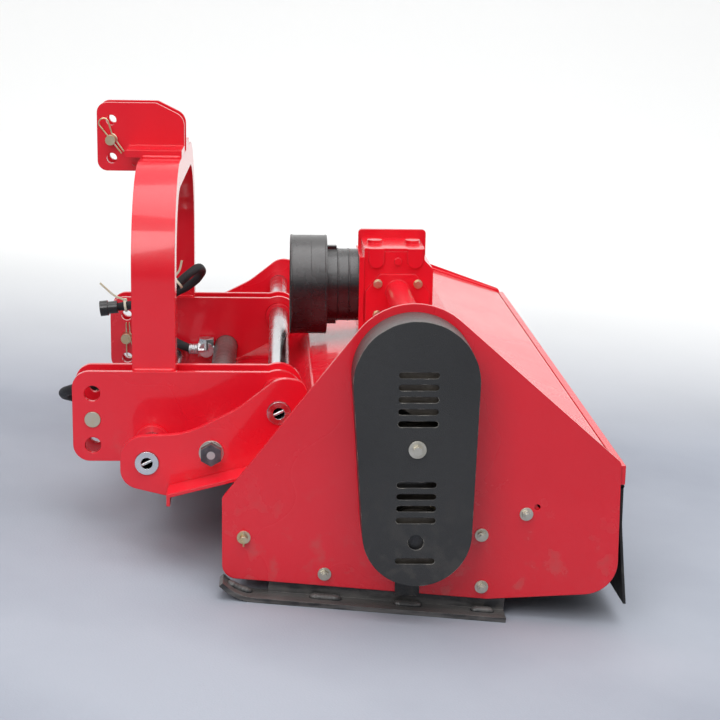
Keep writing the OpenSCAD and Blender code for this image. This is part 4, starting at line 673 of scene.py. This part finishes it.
# %% Rings of the shield
def ring(back, radius, thick):
    """A torus: a circle of the given thickness, that far from the shaft's axis, turned about the axis."""
    section = circle(thick, 14) + [0, radius]
    return patch(machine(lathe((0, back, GEARBOX_SHAFT[1]), (0, 1, 0), section, 72)), around=True, along=True)


SHIELD_RINGS = ((353, 98.2, 3.0), (392, 99.6, 0.9), (421, 98.6, 2.2), (446, 72.2, 2.0), (468, 72.2, 2.0))
piece("shield_rings", [ring(*sizes) for sizes in SHIELD_RINGS], PLASTIC, "deck")

# %% [markdown]
# The studio is plain: a pale floor that runs up into a pale wall in one curve, so no corner shows. The floor is
# grey concrete with a slow cloud in it. The wall has a painted glow: it emits a little light though it is no lamp,
# so that it stays paler than the floor without a stronger lamp on the machine.

# %% Floor and wall
def studio_finish():
    f = Finish("studio_floor", Specular_IOR_Level=0.2, Emission_Strength=1.0)
    cloud, grain = f.noise(1.3, 5), f.noise(240, 3)
    up, side = f.along("Z"), f.along("X")
    wall = f.between(up - side * 0.25, 0.10, 0.62)
    tone = f.mix(cloud, (0.29, 0.31, 0.36), (0.37, 0.39, 0.44))
    tone = f.mix(wall, tone, (0.70, 0.70, 0.69))
    # Painted glow: the wall's share of the surface emits light of its own.
    return f.feed(Base_Color=tone, Roughness=0.6 + 0.2 * cloud, Normal=f.bump(grain, 0.0006, 0.25),
                  Emission_Color=f.mix(wall, (0.0, 0.0, 0.0), (0.30, 0.30, 0.295)))


LEVEL, CURVED = 0.55, 0.2
FLOOR_FROM, FLOOR_TO, COVE_R, WALL_RATE = 6, -2.5, 1.5, 16
run = np.linspace(0, 1, 60)[:, None]
turn = np.clip((run - LEVEL) / CURVED, 0, 1) * math.pi / 2
floor_x = np.where(run < LEVEL, FLOOR_FROM - run / LEVEL * (FLOOR_FROM - FLOOR_TO), FLOOR_TO - COVE_R * np.sin(turn))
floor_z = np.where(run < LEVEL, 0, COVE_R * (1 - np.cos(turn)) + np.clip(run - LEVEL - CURVED, 0, 1) * WALL_RATE)
cove = np.stack(np.broadcast_arrays(floor_x, np.linspace(-7, 7, 30), floor_z), -1)
corners, quads, _, _ = patch(cove)
cove_mesh = bpy.data.meshes.new("studio_cove")
cove_mesh.from_pydata(corners.tolist(), [], quads.tolist())
cove_mesh.materials.append(studio_finish().material)
cove_mesh.polygons.foreach_set("use_smooth", np.ones(len(quads), bool))
studio_cove = bpy.data.objects.new("studio_cove", cove_mesh)
bpy.context.scene.collection.objects.link(studio_cove)
print("cove", len(quads), "quads")

# %% [markdown]
# One broad lamp hangs overhead as an overcast sky does, a weaker one fills the belt side and one lights the rear.
# The sky round them is bright overhead and dim at the horizon: level faces then show a pale sheen, while upright
# ones keep the deep red of the paint.

# %% Lamps and sky
def lamp(name, place, aim, size, power):
    light = bpy.data.lights.new(name, "AREA")
    light.shape, light.size, light.energy = "SQUARE", size, power
    hung = bpy.data.objects.new(name, light)
    hung.location = place
    direction = np.subtract(aim, place)
    flat = math.hypot(direction[0], direction[1])
    hung.rotation_euler = (math.atan2(flat, -direction[2]), 0, math.atan2(direction[1], direction[0]) - math.pi / 2)
    bpy.context.scene.collection.objects.link(hung)


def sky_nodes(world, horizon, zenith):
    """The sky's colour runs from the horizon's to the zenith's with the height of the ray that looks at it."""
    world.use_nodes = True
    tree = world.node_tree
    place, split, mix = (tree.nodes.new(k) for k in
                         ("ShaderNodeTexCoord", "ShaderNodeSeparateXYZ", "ShaderNodeMix"))
    mix.data_type = "RGBA"
    mix.inputs[6].default_value, mix.inputs[7].default_value = (*horizon, 1), (*zenith, 1)
    tree.links.new(place.outputs["Object"], split.inputs[0])
    tree.links.new(split.outputs["Z"], mix.inputs[0])
    tree.links.new(mix.outputs[2], tree.nodes["Background"].inputs["Color"])


lamp("sky_lamp", (0.6, 0.4, 3.6), (0, 0, 0.2), 3.6, 95)
lamp("side_lamp", (3.6, -1.6, 2.6), (0, 0, 0.3), 2.0, 60)
lamp("rear_lamp", (-0.5, 3.6, 2.4), (0, 0, 0.3), 2.0, 22)
world = bpy.data.worlds.new("studio_sky")
bpy.context.scene.world = world
sky_nodes(world, (0.16, 0.165, 0.175), (0.95, 0.97, 1.0))
